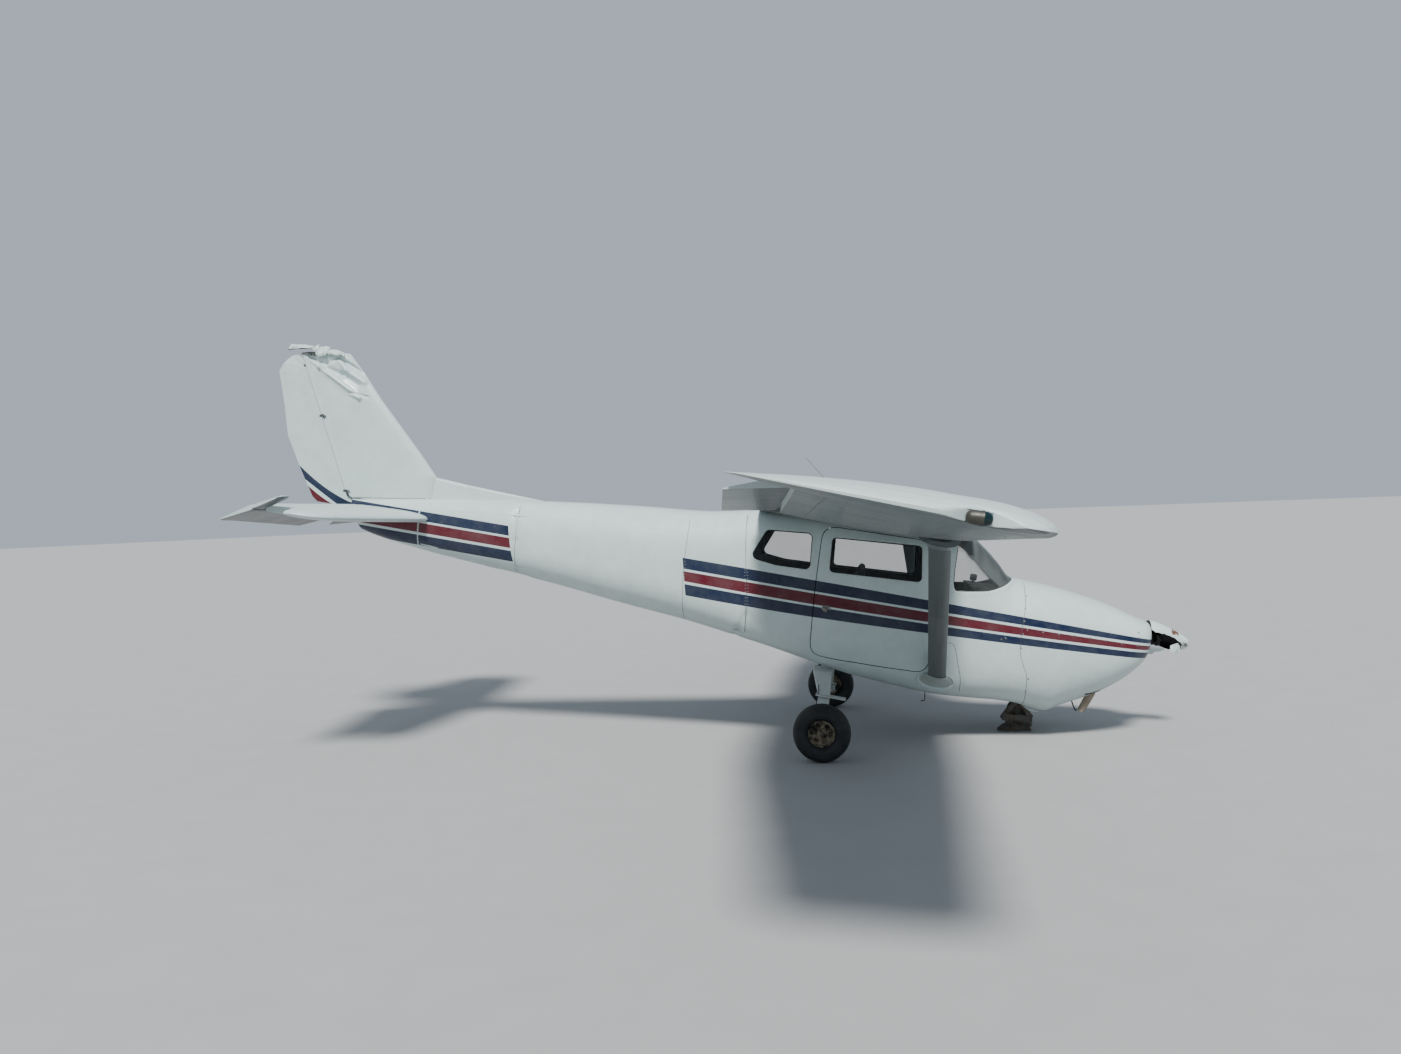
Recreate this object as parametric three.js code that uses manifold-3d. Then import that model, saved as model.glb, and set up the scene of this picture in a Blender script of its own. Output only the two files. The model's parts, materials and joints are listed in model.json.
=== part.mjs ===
// Light aircraft, high wing with struts, resting nose down on its main wheels and a broken nose leg.
// Millimetres. In the airframe's own frame x runs forward from the firewall, y to the left wing and
// z up from the main axle. One outer group pitches that frame nose down and stands it on z = 0.
import * as THREE from "three";
import { mergeVertices } from "three/addons/utils/BufferGeometryUtils.js";
import Module from "manifold-3d";

const wasm = await Module();
wasm.setup();

// Driving sizes
const gap = 0.3; // between pieces that touch
const runningGap = 6; // around pieces that move
const noseDown = THREE.MathUtils.degToRad(10.57);
const axle = { x: -1473, y: 1092, radius: 19, bore: 19.5, tyreRadius: 215, tyreWidth: 160, rimRadius: 100 };
const thrustZ = 1000;
const skin = 12; // cowl and tailcone walls
const wall = 40; // cabin walls and doors
const glassThickness = 6;
const cabinFront = -25;
const cabinRear = -2750;
const tailEnd = -6010;

const wing = {
  rootY: 556, breakY: 2540, tipY: 5283, capY: 5512,
  rootLead: -660, rootTrail: -2286, tipLead: -787, tipTrail: -1916,
  rootZ: 1592, dihedral: THREE.MathUtils.degToRad(1.5),
  incidence: THREE.MathUtils.degToRad(1.5), washout: THREE.MathUtils.degToRad(3.5),
  tipUpper: 0.64, tipLower: 0.86, // shares of the root's thickness to chord
};
const flapSpan = { inner: 640, outer: 2455, chord: 330, rest: 0 };
const aileronSpan = { inner: 2485, outer: 5270, restDown: 13, restUp: 19 };
const strut = { chord: 137, thickness: 48, foot: [-664, 545, 478], head: [-950, 2500, 1580] };
const tailplane = { z: 1037, hingeX: -5867, rootLead: -5128, tipLead: -5324 };
const elevatorRest = 28;
const rudderHinge = { lowX: -5974, lowZ: 1069, highX: -6615, highZ: 2330 };

// Paints and materials
const paint = new THREE.MeshStandardMaterial({ color: 0xd5dedb, roughness: 0.42, metalness: 0.05 });
const greyPaint = new THREE.MeshStandardMaterial({ color: 0x8c9692, roughness: 0.5, metalness: 0.1 });
const steel = new THREE.MeshStandardMaterial({ color: 0x55504a, roughness: 0.55, metalness: 0.8 });
const rust = new THREE.MeshStandardMaterial({ color: 0x8a6a50, roughness: 0.85, metalness: 0.3 });
const castTan = new THREE.MeshStandardMaterial({ color: 0x9b8a6c, roughness: 0.6, metalness: 0.5 });
const rubber = new THREE.MeshStandardMaterial({ color: 0x1b1b1c, roughness: 0.9, metalness: 0 });
const acrylic = new THREE.MeshStandardMaterial({
  color: 0xaeb8b6, roughness: 0.08, metalness: 0, transparent: true, opacity: 0.3,
});
const blackTrim = new THREE.MeshStandardMaterial({ color: 0x1d1f21, roughness: 0.8, metalness: 0 });
const cloth = new THREE.MeshStandardMaterial({ color: 0x2b3038, roughness: 0.9, metalness: 0 });
const greenLens = new THREE.MeshStandardMaterial({ color: 0x16503f, roughness: 0.2, metalness: 0 });
const redLens = new THREE.MeshStandardMaterial({ color: 0x7a1512, roughness: 0.2, metalness: 0 });

// A closed body through rings of equal length, with flat ends
function loft(rings) {
  const count = rings[0].length;
  const position = [];
  for (const ring of rings) for (const p of ring) position.push(p.x, p.y, p.z);
  const index = [];
  for (let r = 0; r + 1 < rings.length; r += 1) {
    for (let i = 0; i < count; i += 1) {
      const a = r * count + i;
      const b = r * count + (i + 1) % count;
      index.push(a, b, b + count, a, b + count, a + count);
    }
  }
  const lastStart = (rings.length - 1) * count;
  for (const [ring, first, flip] of [[rings[0], 0, true], [rings.at(-1), lastStart, false]]) {
    const centre = ring.reduce((sum, p) => sum.add(p), new THREE.Vector3()).divideScalar(count);
    const hub = position.length / 3;
    position.push(centre.x, centre.y, centre.z);
    for (let i = 0; i < count; i += 1) {
      const a = first + i;
      const b = first + (i + 1) % count;
      index.push(...(flip ? [b, a, hub] : [a, b, hub]));
    }
  }
  const geometry = new THREE.BufferGeometry();
  geometry.setAttribute("position", new THREE.Float32BufferAttribute(position, 3));
  geometry.setIndex(index);
  return facingOut(geometry);
}

// Turns a closed body's faces outward
function facingOut(geometry) {
  const p = geometry.attributes.position;
  const index = geometry.index.array;
  const [a, b, c] = [new THREE.Vector3(), new THREE.Vector3(), new THREE.Vector3()];
  let volume = 0;
  for (let i = 0; i < index.length; i += 3) {
    a.fromBufferAttribute(p, index[i]);
    b.fromBufferAttribute(p, index[i + 1]);
    c.fromBufferAttribute(p, index[i + 2]);
    volume += a.dot(b.cross(c));
  }
  if (volume < 0) geometry.setIndex(Array.from(index).reverse());
  return geometry;
}

// Positions only, with shared corners merged
function plainMesh(geometry) {
  const plain = geometry.clone();
  for (const name of Object.keys(plain.attributes)) if (name !== "position") plain.deleteAttribute(name);
  return mergeVertices(plain, 1e-3);
}

// Joins and cuts
function solid(geometry) {
  const merged = plainMesh(geometry);
  return new wasm.Manifold(new wasm.Mesh({
    numProp: 3,
    vertProperties: new Float32Array(merged.attributes.position.array),
    triVerts: new Uint32Array(merged.index.array),
  }));
}
function toGeometry(body) {
  const mesh = body.getMesh();
  const geometry = new THREE.BufferGeometry();
  const position = new Float32Array(mesh.numVert * 3);
  for (let i = 0; i < mesh.numVert; i += 1) {
    for (let k = 0; k < 3; k += 1) position[i * 3 + k] = mesh.vertProperties[i * mesh.numProp + k];
  }
  geometry.setAttribute("position", new THREE.BufferAttribute(position, 3));
  geometry.setIndex(Array.from(mesh.triVerts));
  return geometry;
}
const cut = (body, ...tools) => (
  toGeometry(tools.reduce((left, tool) => left.subtract(solid(tool)), solid(body))));
const join = (body, ...more) => (
  toGeometry(more.reduce((left, piece) => left.add(solid(piece)), solid(body))));
const common = (a, b) => toGeometry(solid(a).intersect(solid(b)));

// Simple shapes
function box(x0, x1, y0, y1, z0, z1) {
  return new THREE.BoxGeometry(x1 - x0, y1 - y0, z1 - z0)
    .translate((x0 + x1) / 2, (y0 + y1) / 2, (z0 + z1) / 2);
}
function rod(from, to, radius, sides = 12, radiusTo = radius) {
  const a = new THREE.Vector3(...from);
  const b = new THREE.Vector3(...to);
  const along = b.clone().sub(a);
  const up = new THREE.Vector3(0, 1, 0);
  const turn = new THREE.Quaternion().setFromUnitVectors(up, along.clone().normalize());
  return new THREE.CylinderGeometry(radiusTo, radius, along.length(), sides)
    .applyQuaternion(turn)
    .translate(...a.add(b).divideScalar(2).toArray());
}
const flatShape = (points) => new THREE.Shape(points.map(([u, v]) => new THREE.Vector2(u, v)));
// A side view outline of [x, z] points or a Shape, as a slab from y0 to y1
function sideSlab(outline, y0, y1, curveSegments = 6) {
  const shape = outline instanceof THREE.Shape ? outline : flatShape(outline);
  return new THREE.ExtrudeGeometry(shape, { depth: y1 - y0, bevelEnabled: false, curveSegments })
    .rotateX(Math.PI / 2)
    .translate(0, y1, 0);
}
// A plan view outline of [x, y] points, as a slab from z0 to z1
function planSlab(outline, z0, z1) {
  return new THREE.ExtrudeGeometry(flatShape(outline), { depth: z1 - z0, bevelEnabled: false })
    .translate(0, 0, z0);
}
// A polygon of [x, z] points with round corners; grow moves its sides outward
function roundedOutline(points, radius, grow = 0) {
  const corners = points.map(([x, z]) => new THREE.Vector2(x, z));
  const area = corners.reduce((sum, p, i) => sum + p.cross(corners[(i + 1) % corners.length]), 0);
  const side = Math.sign(area);
  const moved = corners.map((p, i) => {
    const before = p.clone().sub(corners.at(i - 1)).normalize();
    const after = corners[(i + 1) % corners.length].clone().sub(p).normalize();
    const n1 = new THREE.Vector2(before.y, -before.x).multiplyScalar(side);
    const n2 = new THREE.Vector2(after.y, -after.x).multiplyScalar(side);
    const bisector = n1.clone().add(n2);
    return p.clone().add(bisector.multiplyScalar(2 * grow / bisector.lengthSq()));
  });
  const shape = new THREE.Shape();
  moved.forEach((p, i) => {
    const before = moved.at(i - 1).clone().sub(p);
    const after = moved[(i + 1) % moved.length].clone().sub(p);
    const half = Math.acos(before.clone().normalize().dot(after.clone().normalize())) / 2;
    const reach = Math.min(
      Math.max(radius + grow, 1) / Math.tan(half), before.length() / 2.1, after.length() / 2.1);
    const start = p.clone().add(before.setLength(reach));
    const end = p.clone().add(after.setLength(reach));
    if (i === 0) shape.moveTo(start.x, start.y);
    else shape.lineTo(start.x, start.y);
    shape.quadraticCurveTo(p.x, p.y, end.x, end.y);
  });
  shape.closePath();
  return shape;
}
function mirrored(geometry) {
  const copy = plainMesh(geometry).scale(1, -1, 1);
  copy.setIndex(Array.from(copy.index.array).reverse());
  return copy;
}

// Fuselage sections: x, top, bottom, half width, height of the widest point, how square the upper and
// lower corners are, and how much the sides lean in towards the top
const ringSides = 24;
function bodyRing(s, inset = 0) {
  const points = [];
  for (let i = 0; i < ringSides; i += 1) {
    const angle = 2 * Math.PI * (i + 0.5) / ringSides;
    const [c, n] = [Math.cos(angle), Math.sin(angle)];
    const power = 2 / (n > 0 ? s.nUp : s.nLow);
    const rise = n > 0 ? s.top - inset - s.wide : s.wide - s.bottom - inset;
    const z = rise * Math.sign(n) * Math.abs(n) ** power;
    const lean = n > 0 ? 1 - s.lean * z / rise : 1;
    const y = (s.half - inset) * lean * Math.sign(c) * Math.abs(c) ** power;
    points.push(new THREE.Vector3(s.x, y, s.wide + z));
  }
  return points;
}
const sections = (rows) => rows.map(([x, top, bottom, half, wide, nUp, nLow, lean]) => (
  { x, top, bottom, half, wide, nUp, nLow, lean }));

const noseSections = sections([
  // x, top, bottom, half, wide, nUp, nLow, lean
  [948, 1108, 862, 196, 975, 2.2, 2.1, 0],
  [941, 1120, 830, 240, 970, 2.3, 2.2, 0],
  [918, 1129, 785, 290, 962, 2.4, 2.3, 0],
  [870, 1140, 722, 338, 950, 2.5, 2.4, 0],
  [785, 1166, 634, 388, 930, 2.5, 2.5, 0],
  [610, 1216, 498, 434, 900, 2.6, 2.6, 0],
  [340, 1266, 350, 480, 860, 2.7, 2.8, 0],
  [221, 1282, 290, 496, 840, 2.8, 2.9, 0],
  [100, 1294, 302, 509, 820, 2.8, 3.0, 0],
  [cabinFront + gap, 1302, 320, 520, 800, 2.9, 3.2, 0],
]);
const cabinSections = sections([
  [cabinFront, 1302, 320, 520, 800, 2.9, 3.2, 0],
  [-165, 1312, 318, 529, 800, 2.8, 3.4, 0],
  [-300, 1432, 308, 535, 800, 2.6, 3.6, 0],
  [-420, 1532, 300, 539, 800, 2.8, 3.8, 0.02],
  [-520, 1592, 295, 542, 800, 3.4, 4.0, 0.04],
  [-660, 1605, 290, 545, 800, 5.0, 4.2, 0.06],
  [-900, 1600, 303, 547, 800, 6.0, 4.4, 0.07],
  [-1300, 1600, 333, 545, 810, 6.0, 4.4, 0.07],
  [-1700, 1595, 392, 535, 830, 6.0, 4.0, 0.07],
  [-2050, 1580, 447, 514, 850, 5.0, 3.6, 0.06],
  [-2286, 1555, 476, 494, 870, 4.0, 3.3, 0.04],
  [-2500, 1510, 503, 474, 890, 3.4, 3.0, 0.02],
  [cabinRear, 1472, 532, 448, 910, 3.0, 2.8, 0],
]);
const tailSections = sections([
  [cabinRear - gap, 1472, 532, 448, 910, 3.0, 2.8, 0],
  [-3300, 1431, 578, 388, 940, 2.6, 2.6, 0],
  [-3988, 1366, 650, 312, 970, 2.5, 2.5, 0],
  [-4623, 1288, 702, 240, 990, 2.4, 2.4, 0],
  [-5230, 1210, 752, 168, 1000, 2.3, 2.4, 0],
  [-5700, 1146, 818, 112, 1000, 2.3, 2.4, 0],
  [tailEnd, 1100, 905, 66, 1000, 2.2, 2.4, 0],
]);
const bodySolid = (rows, inset = 0) => loft(rows.map((s) => bodyRing(s, inset)));
// The same body with its ends moved along x, so that a cut with it leaves both ends open
function openBody(rows, inset, frontBy, rearBy) {
  const rings = rows.map((s) => bodyRing(s, inset));
  const first = rings[0].map((p) => p.clone().setX(p.x + frontBy));
  const last = rings.at(-1).map((p) => p.clone().setX(p.x - rearBy));
  return loft([first, ...rings.slice(1, -1), last]);
}

// Wing surface
const airfoil = { camber: 0.02, camberAt: 0.4, thickness: 0.12 };
function airfoilHeight(x, side, thinness) {
  const { camber: m, camberAt: p, thickness: t } = airfoil;
  const mean = x < p ? m / p ** 2 * (2 * p * x - x * x)
    : m / (1 - p) ** 2 * (1 - 2 * p + 2 * p * x - x * x);
  const half = 5 * t * (
    0.2969 * Math.sqrt(x) - 0.126 * x - 0.3516 * x ** 2 + 0.2843 * x ** 3 - 0.1036 * x ** 4);
  return mean + side * half * thinness;
}
const chordSteps = [0, 0.012, 0.05, 0.12, 0.22, 0.35, 0.5, 0.65, 0.78, 0.9, 0.985];
function wingStation(y) {
  const k = Math.max(0, (y - wing.breakY) / (wing.tipY - wing.breakY));
  const mix = THREE.MathUtils.lerp;
  return {
    y,
    lead: mix(wing.rootLead, wing.tipLead, k),
    trail: mix(wing.rootTrail, wing.tipTrail, k),
    z: wing.rootZ + (y - wing.rootY) * Math.tan(wing.dihedral),
    pitch: wing.incidence - wing.washout * k,
    upper: mix(1, wing.tipUpper, k),
    lower: mix(1, wing.tipLower, k),
  };
}
// A point of the wing at a part of the chord; side is 1 above, -1 below and 0 on the chord line.
// Towards the tip the upper side keeps its round nose and flattens behind it.
const noseShare = 0.3;
function wingPoint(station, part, side, grow = 0) {
  const chord = station.lead - station.trail;
  const nose = Math.max(0, 1 - part / noseShare);
  const thinness = side > 0 ? THREE.MathUtils.lerp(station.upper, 1, nose) : station.lower;
  const lift = side === 0 ? 0 : airfoilHeight(part, side, thinness) * chord + side * grow;
  const quarterX = station.lead - chord / 4;
  const x = station.lead - part * chord;
  return new THREE.Vector3(x, station.y, station.z + (x - quarterX) * Math.sin(station.pitch) + lift);
}
function wingRing(station, grow = 0) {
  const upper = chordSteps.map((part) => wingPoint(station, part, 1, grow));
  const lower = chordSteps.map((part) => wingPoint(station, part, -1, grow));
  upper[0].x += grow;
  return [...upper.reverse(), ...lower.slice(1)];
}
// Wing outline with a tip cap that draws in and sweeps back
function wingSolid(grow = 0, fromY = wing.rootY) {
  const stations = [fromY, wing.breakY, wing.tipY].map(wingStation);
  const rings = stations.map((s) => wingRing(s, grow));
  const capRows = [
    // share of the cap's width, share of the tip's thickness, lead set back, trail drawn in
    [0.35, 0.88, 14, 0],
    [0.7, 0.62, 52, 8],
    [0.92, 0.34, 120, 30],
    [1, 0.12, 190, 60],
  ];
  const tip = stations[2];
  const chord = tip.lead - tip.trail;
  for (const [out, thin, back, drawn] of capRows) {
    const y = wing.tipY + out * (wing.capY - wing.tipY) + grow;
    const ring = rings[2].map((p) => {
      const part = (tip.lead - p.x) / chord;
      const mid = wingPoint(tip, THREE.MathUtils.clamp(part, 0, 1), 0);
      const x = THREE.MathUtils.mapLinear(part, 0, 1, tip.lead - back, tip.trail + drawn);
      const lift = (p.z - mid.z) * thin;
      return new THREE.Vector3(x, y, mid.z + lift);
    });
    rings.push(ring);
  }
  return loft(rings);
}

// A control surface between two stations: a round nose on the hinge and a thin trailing edge
function surfaceRing({ x, y, z, nose, chord, tilt }) {
  const points = [];
  const arcSteps = 8;
  for (let i = 0; i <= arcSteps; i += 1) {
    const a = Math.PI / 2 - Math.PI * i / arcSteps;
    points.push([nose * Math.cos(a), nose * Math.sin(a)]);
  }
  points.push([-chord, -2.5], [-chord, 2.5]);
  const [c, s] = [Math.cos(tilt), Math.sin(tilt)];
  return points.map(([px, pz]) => new THREE.Vector3(x + px * c - pz * s, y, z + px * s + pz * c));
}

const parts = [];
function add(name, geometry, material) {
  const mesh = new THREE.Mesh(geometry, material);
  mesh.name = name;
  parts.push(mesh);
}
function addPair(name, geometry, material, leftMaterial = material) {
  add(`${name}_left`, geometry, leftMaterial);
  add(`${name}_right`, mirrored(geometry), material);
}

// Cabin roof: the carry-through between the wing roots, its nose drawn forward over the windshield
const root = wingStation(wing.rootY);
const roofParts = [0.05, 0.12, 0.22, 0.35, 0.5, 0.65, 0.78, 0.9, 0.985];
const roofNoseX = -545;
const roofLine = (shares, side) => shares.map((part) => wingPoint(root, part, side)).map((p) => [p.x, p.z]);
const roofOutline = [
  ...roofLine(roofParts, 1).reverse(),
  [root.lead + 20, 1672],
  [roofNoseX + 8, 1634],
  [roofNoseX, 1612],
  [roofNoseX - 18, 1598],
  [root.lead - 20, 1574],
  ...roofLine(roofParts.slice(1), -1),
];
const roofSlab = (grow) => {
  const centre = [-1400, 1600];
  const outline = roofOutline.map(([x, z]) => [
    x + Math.sign(x - centre[0]) * grow, z + Math.sign(z - centre[1]) * grow]);
  return sideSlab(outline, -(wing.rootY - gap) - grow, wing.rootY - gap + grow);
};
add("cabin_roof", roofSlab(0), paint);

// Openings of the cabin, seen from the side
const windshieldOutline = [
  [-120, 1345], [-175, 1300], [-240, 1256], [-300, 1220], [-372, 1194], [-482, 1176], [-638, 1162],
  [-662, 1290], [-655, 1460], [-662, 1700], [-300, 1700],
];
const doorOutline = [[-745, 490], [-1200, 480], [-1668, 478], [-1700, 1000], [-1710, 1504], [-745, 1510]];
const doorWindow = [[-876, 1174], [-1622, 1142], [-1640, 1440], [-915, 1478]];
const rearWindow = [[-1752, 1134], [-2045, 1128], [-2275, 1158], [-2165, 1420], [-1776, 1450]];
const cornerRadius = { door: 110, doorWindow: 45, rearWindow: 55 };
const outside = 900; // beyond the widest fuselage point

// External door hinges: a knuckle on the door between two on the door post, all on one upright axis
const doorHinge = {
  x: -742, y: 549, heights: [640, 1250], radius: 9, half: 18, outer: 16, reach: 34, inward: 42,
};
function knuckle(z0, z1, forward) {
  const { x, y, radius, reach, inward } = doorHinge;
  const arm = forward ? box(x, x + reach, y - inward, y + radius * 0.6, z0, z1)
    : box(x - reach, x, y - inward, y + radius * 0.6, z0, z1);
  return join(rod([x, y, z0], [x, y, z1], radius, 10), arm);
}
function knuckleRoom(z0, z1) {
  const { x, y, radius } = doorHinge;
  return rod([x, y, z0 - gap], [x, y, z1 + gap], radius + 4, 10);
}
const doorKnuckles = doorHinge.heights.map((z) => [z - doorHinge.half, z + doorHinge.half]);
const postKnuckles = doorKnuckles.flatMap(([low, high]) => [
  [low - gap - doorHinge.outer, low - gap], [high + gap, high + gap + doorHinge.outer]]);

const outerBody = openBody(cabinSections, 0, 0, 0);
const glassBody = openBody(cabinSections, glassThickness + 3, 50, 50);
const glassOuter = openBody(cabinSections, 3, 50, 50);
const innerBody = openBody(cabinSections, wall, 50, 50);
const shellBlank = cut(outerBody, innerBody, roofSlab(gap));
const windshieldSlab = (grow) => sideSlab(roundedOutline(windshieldOutline, 12, grow), -outside, outside);
const sideHole = (outline, radius, grow, inner = 150) => (
  sideSlab(roundedOutline(outline, radius, grow), inner, outside));
const bothSides = (geometry) => [geometry, mirrored(geometry)];

add("cabin_body", join(
  cut(
    shellBlank,
    windshieldSlab(gap),
    ...bothSides(sideHole(doorOutline, cornerRadius.door, runningGap)),
    ...bothSides(sideHole(rearWindow, cornerRadius.rearWindow, gap)),
    ...doorKnuckles.flatMap(([low, high]) => bothSides(knuckleRoom(low, high))),
  ),
  ...postKnuckles.flatMap(([low, high]) => bothSides(knuckle(low, high, true))),
), paint);
add("windshield", common(cut(outerBody, openBody(cabinSections, glassThickness, 50, 50), roofSlab(gap)),
  windshieldSlab(0)), acrylic);
const doorBlank = common(shellBlank, sideHole(doorOutline, cornerRadius.door, 0));
addPair("door", join(
  cut(doorBlank, sideHole(doorWindow, cornerRadius.doorWindow, gap),
    ...postKnuckles.map(([low, high]) => knuckleRoom(low, high))),
  ...doorKnuckles.map(([low, high]) => knuckle(low, high, false)),
), paint);
const paneBlank = cut(glassOuter, glassBody);
addPair("door_glass", common(paneBlank, sideHole(doorWindow, cornerRadius.doorWindow, 0)), acrylic);
addPair("rear_window", common(paneBlank, sideHole(rearWindow, cornerRadius.rearWindow, 0)), acrylic);

// Tailcone, cut back for the rudder and bored for the elevator's torque tube
const hingeSlope = (rudderHinge.highX - rudderHinge.lowX) / (rudderHinge.highZ - rudderHinge.lowZ);
const hingeX = (z) => rudderHinge.lowX + hingeSlope * (z - rudderHinge.lowZ);
const rudderNose = { low: 34, high: 24 };
const rudderClear = (rudderNose.low + runningGap + 3) / Math.cos(Math.atan(hingeSlope));
const behindHinge = sideSlab([
  [hingeX(600) + rudderClear, 600], [hingeX(2700) + rudderClear, 2700], [-8500, 2700], [-8500, 600],
], -outside, outside);
const torqueTube = { radius: 19, bore: 19.8 };
const torqueBore = rod(
  [tailplane.hingeX, -400, tailplane.z], [tailplane.hingeX, 400, tailplane.z], torqueTube.bore, 16);
const tailHollowRear = -5350;
const tailHollow = loft([
  ...tailSections.slice(0, 5).map((s) => bodyRing(s, skin)),
  bodyRing({ ...tailSections[4], x: tailHollowRear }, skin * 2),
].map((ring, i) => (i === 0 ? ring.map((p) => p.clone().setX(p.x + 50)) : ring)));
add("tailcone", cut(bodySolid(tailSections), tailHollow, behindHinge, torqueBore), paint);

// Dorsal fillet and fin: thin bodies on the tailcone's top line
function finRing(z, leadX, trailX, half) {
  const chord = leadX - trailX;
  const outline = [
    // share of the chord, share of the half thickness
    [0, 0], [0.03, 0.42], [0.12, 0.8], [0.35, 1], [0.7, 0.86], [1, 0.62],
  ];
  const side = (sign) => outline.map(([part, thick]) => (
    new THREE.Vector3(leadX - part * chord, sign * thick * half, z)));
  return [...side(1), ...side(-1).slice(1).reverse()];
}
const finRows = [
  // z, lead, half thickness
  [1120, -5150, 62],
  [1412, -5190, 58],
  [1588, -5357, 55],
  [2024, -5804, 45],
  [2225, -5997, 39],
  [2410, -6184, 33],
];
// The crushed top slopes down towards the rudder
const finTopZ = (x) => 2403 + 0.085 * (x + 6100);
const aboveFin = sideSlab([
  [-5900, finTopZ(-5900)], [-7000, finTopZ(-7000)], [-7000, 2700], [-5900, 2700],
], -outside, outside);
const finSolid = loft(finRows.map(([z, lead, half]) => finRing(z, lead, hingeX(z) + rudderClear, half)));
const tailTop = openBody(tailSections, -gap, 0, 0);
const rudderHinges = [1165, 1803, 2235];
const hingePin = { radius: 5, bore: 5.5, tabHalf: 5, notchHalf: 11 };
const sweepAt = (z, reach) => [[hingeX(z - reach), 0, z - reach], [hingeX(z + reach), 0, z + reach]];
const hingeTabs = rudderHinges.map((z) => box(
  hingeX(z) - 11, hingeX(z) + rudderClear + 20, -9, 9, z - hingePin.tabHalf, z + hingePin.tabHalf));
const tabBores = rudderHinges.map((z) => rod(...sweepAt(z, 30), hingePin.bore, 16));
add("fin", cut(join(cut(finSolid, tailTop, aboveFin), ...hingeTabs), ...tabBores), paint);
// What is left of the fin's cap: folded sheet, with a torn flange that lies back over the rudder
add("fin_cap", cut(sideSlab([
  [-6190, 2385], [-6205, 2404], [-6355, 2420], [-6398, 2443], [-6440, 2414], [-6487, 2446], [-6550, 2396],
  [-6759, 2370], [-6762, 2358], [-6648, 2364], [-6640, 2340],
], -16, 16), sideSlab([
  [-6100, finTopZ(-6100) + gap], [-6700, finTopZ(-6700) + gap], [-6700, 2300], [-6100, 2300],
], -outside, outside)), paint);
const dorsalRings = [
  // x, top, half width at the foot
  [-4176, 1345, 4], [-4520, 1362, 20], [-4900, 1385, 40], [-5185, 1408, 54],
].map(([x, top, half]) => [
  [half, 1060], [half, 1150 + (top - 1150) * 0.3], [half * 0.55, top - 12], [half * 0.2, top],
  [-half * 0.2, top], [-half * 0.55, top - 12], [-half, 1150 + (top - 1150) * 0.3], [-half, 1060],
].map(([y, z]) => new THREE.Vector3(x, y, z)));
const finGrown = loft(finRows.map(([z, lead, half]) => (
  finRing(z, lead + 2, hingeX(z) + rudderClear, half + 1))));
add("dorsal_fillet", cut(loft(dorsalRings), tailTop, finGrown), paint);

// Rudder on its swept hinge line, its top corner cut back
function rudderRing(z, trailX, nose) {
  const hx = hingeX(z);
  const chord = hx - trailX;
  const points = [];
  const arcSteps = 6;
  for (let i = 0; i <= arcSteps; i += 1) {
    const a = Math.PI / 2 - Math.PI * i / arcSteps;
    points.push([nose * Math.cos(a), nose * Math.sin(a)]);
  }
  points.push([-chord, -2.5], [-chord, 2.5]);
  return points.map(([px, py]) => new THREE.Vector3(hx + px, py, z));
}
const rudderRows = [
  // z, trailing edge, nose radius
  [1030, -6290, 30],
  [1069, -6345, 34],
  [1313, -6502, 33],
  [1582, -6660, 31],
  [1849, -6731, 28],
  [2154, -6828, 25],
  [2215, -6797, 24],
  [2271, -6722, 22],
  [2300, -6680, 20],
];
const rudderNotches = rudderHinges.map((z) => box(
  hingeX(z) - 22, hingeX(z) + 80, -80, 80, z - hingePin.notchHalf, z + hingePin.notchHalf));
const rudderPins = rudderHinges.map((z) => (
  rod(...sweepAt(z, hingePin.notchHalf + 12), hingePin.radius, 16)));
const rudderBlank = loft(rudderRows.map(([z, trail, nose]) => rudderRing(z, trail, nose)));
add("rudder", join(cut(rudderBlank, ...rudderNotches), ...rudderPins), paint);

// Tailplane and elevator
function tailplaneRing(y, lead, half, trail = tailplane.hingeX + 45) {
  const chord = lead - trail;
  const outline = [[0, 0], [0.02, 0.4], [0.1, 0.78], [0.35, 1], [0.7, 0.9], [1, 0.72]];
  const side = (sign) => outline.map(([part, thick]) => (
    new THREE.Vector3(lead - part * chord, y, tailplane.z + sign * thick * half)));
  return [...side(1), ...side(-1).slice(1).reverse()];
}
const hornInnerY = 1596;
const hornFrontX = -5612;
const tailplaneBlank = loft([
  tailplaneRing(20, tailplane.rootLead, 46),
  tailplaneRing(1500, tailplane.tipLead + 25, 36),
  tailplaneRing(1640, tailplane.tipLead - 30, 28),
  tailplaneRing(1700, tailplane.tipLead - 110, 16),
  tailplaneRing(1725, tailplane.tipLead - 210, 6),
]);
const hornCut = box(tailplane.hingeX - 10, hornFrontX + 12, hornInnerY - 12, 1800, 900, 1150);
addPair("tailplane", cut(tailplaneBlank, hornCut, tailTop), paint);
const elevatorTilt = THREE.MathUtils.degToRad(elevatorRest);
const elevatorNose = 30;
function elevatorStation(y, chord, nose = elevatorNose) {
  return surfaceRing({ x: tailplane.hingeX, y, z: tailplane.z, nose, chord, tilt: elevatorTilt });
}
const elevatorBlank = loft([
  elevatorStation(118, 330), elevatorStation(260, 478), elevatorStation(1500, 300),
  elevatorStation(1650, 288, 26), elevatorStation(1722, 268, 18),
]);
const hornLength = hornFrontX - tailplane.hingeX;
const hornRows = [
  // y, share of the length, share of the thickness
  [hornInnerY, 1, 1], [1660, 1, 0.9], [1718, 0.9, 0.5],
];
const hornSection = [
  // share of the length, height
  [-0.3, 19], [0.3, 24], [0.9, 13], [1, 3], [1, -3], [0.9, -13], [0.3, -24], [-0.3, -19],
];
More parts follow.
